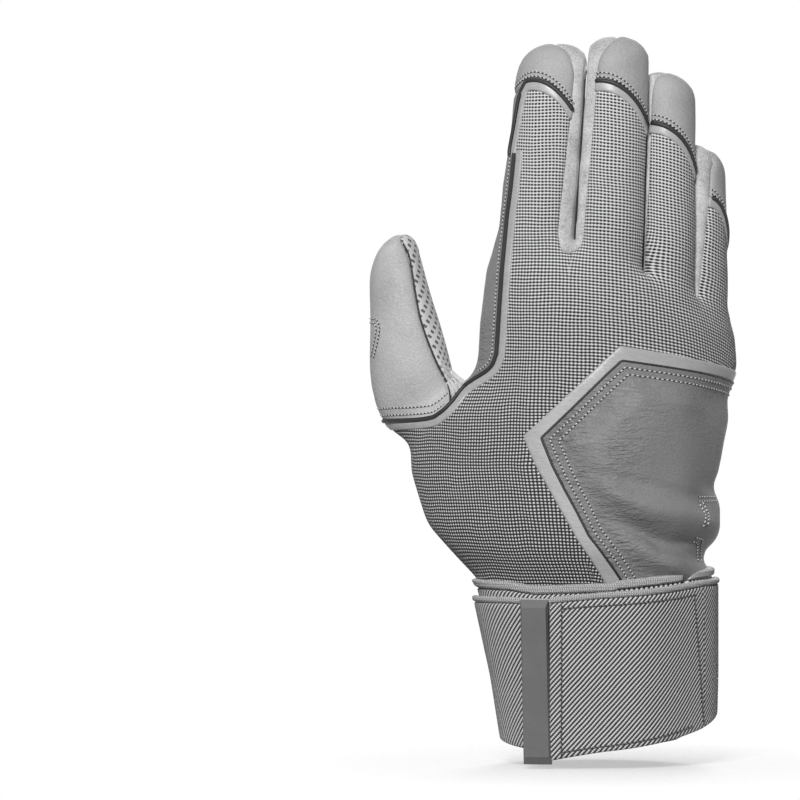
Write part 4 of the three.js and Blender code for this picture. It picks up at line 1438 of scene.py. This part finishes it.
# Pipings and rows beside the side tape and the thumb leather, and where across or up the hand each ends
SIDE_PIPING, PIPING_SHARE, INDEX_ROW, THUMB_ROWS = 0.85, 0.6, 2.5, (2.4, 4.8)
CAP_CORNER, SIDE_END, HEM_END, INDEX_ROW_END, THUMB_ROW_END = 1.6, -28.8, -27.6, -26, -36
THUMB_CORD, THUMB_CORD_ENDS = 0.3, (122, 180)


def beside_tape(gap):
    return offset_line(BAND_LOWER, -BAND_LOWER_HALF - gap)


upper_side = offset_line(BAND_UPPER, -BAND_UPPER_HALF - PIPING_SHARE * SIDE_PIPING)
lower_side, index_row = beside_tape(PIPING_SHARE * SIDE_PIPING), beside_tape(INDEX_ROW)
cap_side = cap_line("index", 0.0)
cap_side = cap_side[cap_side[:, 0] > upper_side[0, 0] + CAP_CORNER]
pipe("index_cap", drape(np.vstack([upper_side[::-1], cap_side]), SEAM_LIFT))
pipe("side_band", drape(lower_side[lower_side[:, 0] > SIDE_END], SEAM_LIFT), SIDE_PIPING, material=SIDE_CORD)
pipe("thumb_hem", drape(lower_side[lower_side[:, 0] < HEM_END], SEAM_LIFT))
lowest, highest = THUMB_CORD_ENDS
thumb_side = THUMB_EDGE[(THUMB_EDGE[:, 1] > lowest) & (THUMB_EDGE[:, 1] < highest)]
pipe("thumb_edge", drape(thumb_side), THUMB_CORD, 0.0)
sew("index_side", [drape(index_row[index_row[:, 0] > INDEX_ROW_END])])
sew("thumb_hem", [drape(row[row[:, 0] < THUMB_ROW_END]) for row in map(beside_tape, THUMB_ROWS)])

# Edge of the back pad
PAD_ROWS, PAD_CORD, PAD_CORD_OUT, PAD_CORD_LIFT = (2.2, 4.4), 0.4, 0.1, 0.6
pipe("pad", drape(offset_line(PAD_EDGE, PAD_CORD_OUT), PAD_CORD_LIFT), PAD_CORD)
sew("pad", [drape(offset_line(PAD_EDGE, row), surface=PAD_SURFACE) for row in PAD_ROWS])

# Twin rows that gather the slack leather at the outer edge of the hand, and the crescent on the thumb
GATHERS = [
    [(44.3, 90.1), (53, 90.1)],
    [(44.8, 89.4), (46.4, 86.1), (46.2, 81.6)],
    [(45, 76.4), (47.2, 75.8), (48.8, 69.5)],
]
CRESCENT = spline([
    (-65.2, 153.4), (-61.8, 153), (-60.2, 150.6), (-60.3, 147.6), (-61.6, 143), (-62.8, 139.6),
])
TWIN_GAP = 1.5
gathers = [offset_line(line, gap) for line in GATHERS for gap in (0, TWIN_GAP)]
sew("gathers", [drape(line, surface=PAD_SURFACE) for line in gathers])
sew("thumb_crescent", [drape(offset_line(CRESCENT, gap), SEAM_LIFT) for gap in (0, -TWIN_GAP)])

# Pleat where the thumb leather, the palm and the side band meet
PLEAT_RIDGES = (
    [(-39.2, 137.6), (-35.4, 134.4), (-31, 130.8)], [(-38.4, 135.6), (-35, 132.4), (-31.6, 129.2)],
    [(-37.6, 133.4), (-35, 130.6), (-32.6, 127.8)], [(-36.6, 131.2), (-35, 128.8), (-33.8, 126.8)],
)
PLEAT_ROUND, PLEAT_LIFT = 0.95, -0.45
pleat = [cord(*drape(spline(ridge)), PLEAT_ROUND, PLEAT_LIFT) for ridge in PLEAT_RIDGES]
add_trim("thumb_pleat", pleat, PLEAT_LEATHER)

# Edges of the heel patch and the thumb gusset, on the palm
PATCH_ROWS, PATCH_CORD_LIFT, GUSSET_CORD, GUSSET_POINTS = (2.0, 4.0), 0.2, 0.35, 60
pipe("heel_patch", drape(PATCH_EDGE, PATCH_CORD_LIFT, back=False))
sew("heel_patch", [drape(offset_line(PATCH_EDGE, row), PATCH_LIFT, back=False) for row in PATCH_ROWS])
turn = np.linspace(0, 2 * math.pi, GUSSET_POINTS)
gusset_rim = GUSSET_PLACE + GUSSET_HALF * np.stack([np.cos(turn), np.sin(turn)], 1)
pipe("gusset", drape(gusset_rim, SEAM_LIFT, back=False), GUSSET_CORD)

# Rows on the flap: angles and heights of both ends
FLAP_ROWS = (((-107.8, -107.8), (4.4, 55.4)), ((-107.8, -45), (5.4, 13.6)), ((-107.8, -45), (54.2, 58.2)))
ROOT_ROW = ((-43, -34), (59.5, 14))
ROW_POINTS, NORMAL_STEP = 120, 0.1


def flap_row(angles, heights):
    """A line on the flap, by angle and height, with its outward normals."""
    z = np.linspace(*heights, ROW_POINTS)
    angle = straight_angle(np.linspace(*angles, ROW_POINTS), z, STRAP_OUT + FLAP_RISE)
    offset = STRAP_OUT + flap_rise(angle, z)
    points = cuff_points(angle, z, offset)
    return points, unit(cuff_points(angle, z, offset + NORMAL_STEP) - points)


sew("flap", [flap_row(*row) for row in FLAP_ROWS], FLAP, GREY_THREAD)
sew("flap_root", [flap_row(*ROOT_ROW)], material=GREY_THREAD)

# Camera, light and stage
VIEW_CENTRE = (-70.4 * MM, 0.0, 124.9 * MM)
VIEW_WIDTH, VIEW_DISTANCE, SENSOR = 276 * MM, 1.6, 36
# Place of each light, height of its target, its size and power, and whether reflections show it
LIGHTS = {
    "key": ((-0.3, -1.35, 1.0), 0.14, 0.5, 20.5, True),
    "fill": ((0.0, -1.5, 0.1), 0.12, 0.8, 1.4, True),
    "back": ((0.3, 1.35, 0.9), 0.12, 0.6, 19, False),
}
FLOOR_SOLID, FLOOR_CLEAR, FLOOR_ALPHA, FLOOR_DROP = 0.02, 0.1, 0.5, 0.5 * MM
WORLD_LIGHT = 0.05


def add_camera():
    data = bpy.data.cameras.new("camera")
    data.sensor_width = SENSOR
    data.lens = SENSOR * VIEW_DISTANCE / VIEW_WIDTH
    camera = link("camera", data)
    camera.location = (VIEW_CENTRE[0], VIEW_CENTRE[1] - VIEW_DISTANCE, VIEW_CENTRE[2])
    camera.rotation_euler = (math.pi / 2, 0, 0)
    bpy.context.scene.camera = camera


def add_light(name, place, height, size, power, glossy):
    data = bpy.data.lights.new(name, "AREA")
    data.size, data.energy = size, power
    light = link(name, data)
    light.location = place
    light.rotation_euler = (Vector((0, 0, height)) - Vector(place)).to_track_quat("-Z", "Y").to_euler()
    light.visible_glossy = glossy


def backdrop_material():
    """White paper that fades out round the object, so that the white world shows behind it."""
    paint = Paint("backdrop", Base_Color=(1, 1, 1, 1), Roughness=0.9)
    distance = paint.node("VectorMath", paint.place(), output="Value", settings={"operation": "LENGTH"})
    paint.give("Alpha", paint.node("MapRange", distance, FLOOR_SOLID, FLOOR_CLEAR, FLOOR_ALPHA, 0.0))
    return paint.material


def add_floor():
    mesh = bpy.data.meshes.new("floor")
    low = cad_box[0][2] - FLOOR_DROP
    corners = [(x * FLOOR_CLEAR, y * FLOOR_CLEAR, low) for x, y in ((-1, -1), (1, -1), (1, 1), (-1, 1))]
    mesh.from_pydata(corners, [], [(0, 1, 2, 3)])
    mesh.materials.append(backdrop_material())
    floor = link("floor", mesh)


def add_world():
    """White where the camera sees it or its reflection, and a faint light on everything else."""
    world = bpy.data.worlds.new("studio")
    bpy.context.scene.world = world
    world.use_nodes = True
    graph = Graph(world.node_tree)
    camera, glossy, through = (
        graph.node("LightPath", output=f"Is {kind} Ray") for kind in ("Camera", "Glossy", "Transmission")
    )
    seen = graph.math("MAXIMUM", graph.math("MAXIMUM", camera, glossy), through)
    background = graph.tree.nodes["Background"]
    graph.put((1, 1, 1, 1), background.inputs["Color"])
    graph.put(graph.node("MapRange", seen, 0.0, 1.0, WORLD_LIGHT, 1.0), background.inputs["Strength"])


add_camera()
add_world()
add_floor()
for name, values in LIGHTS.items():
    add_light(name, *values)
bpy.context.scene.view_settings.view_transform = "Standard"
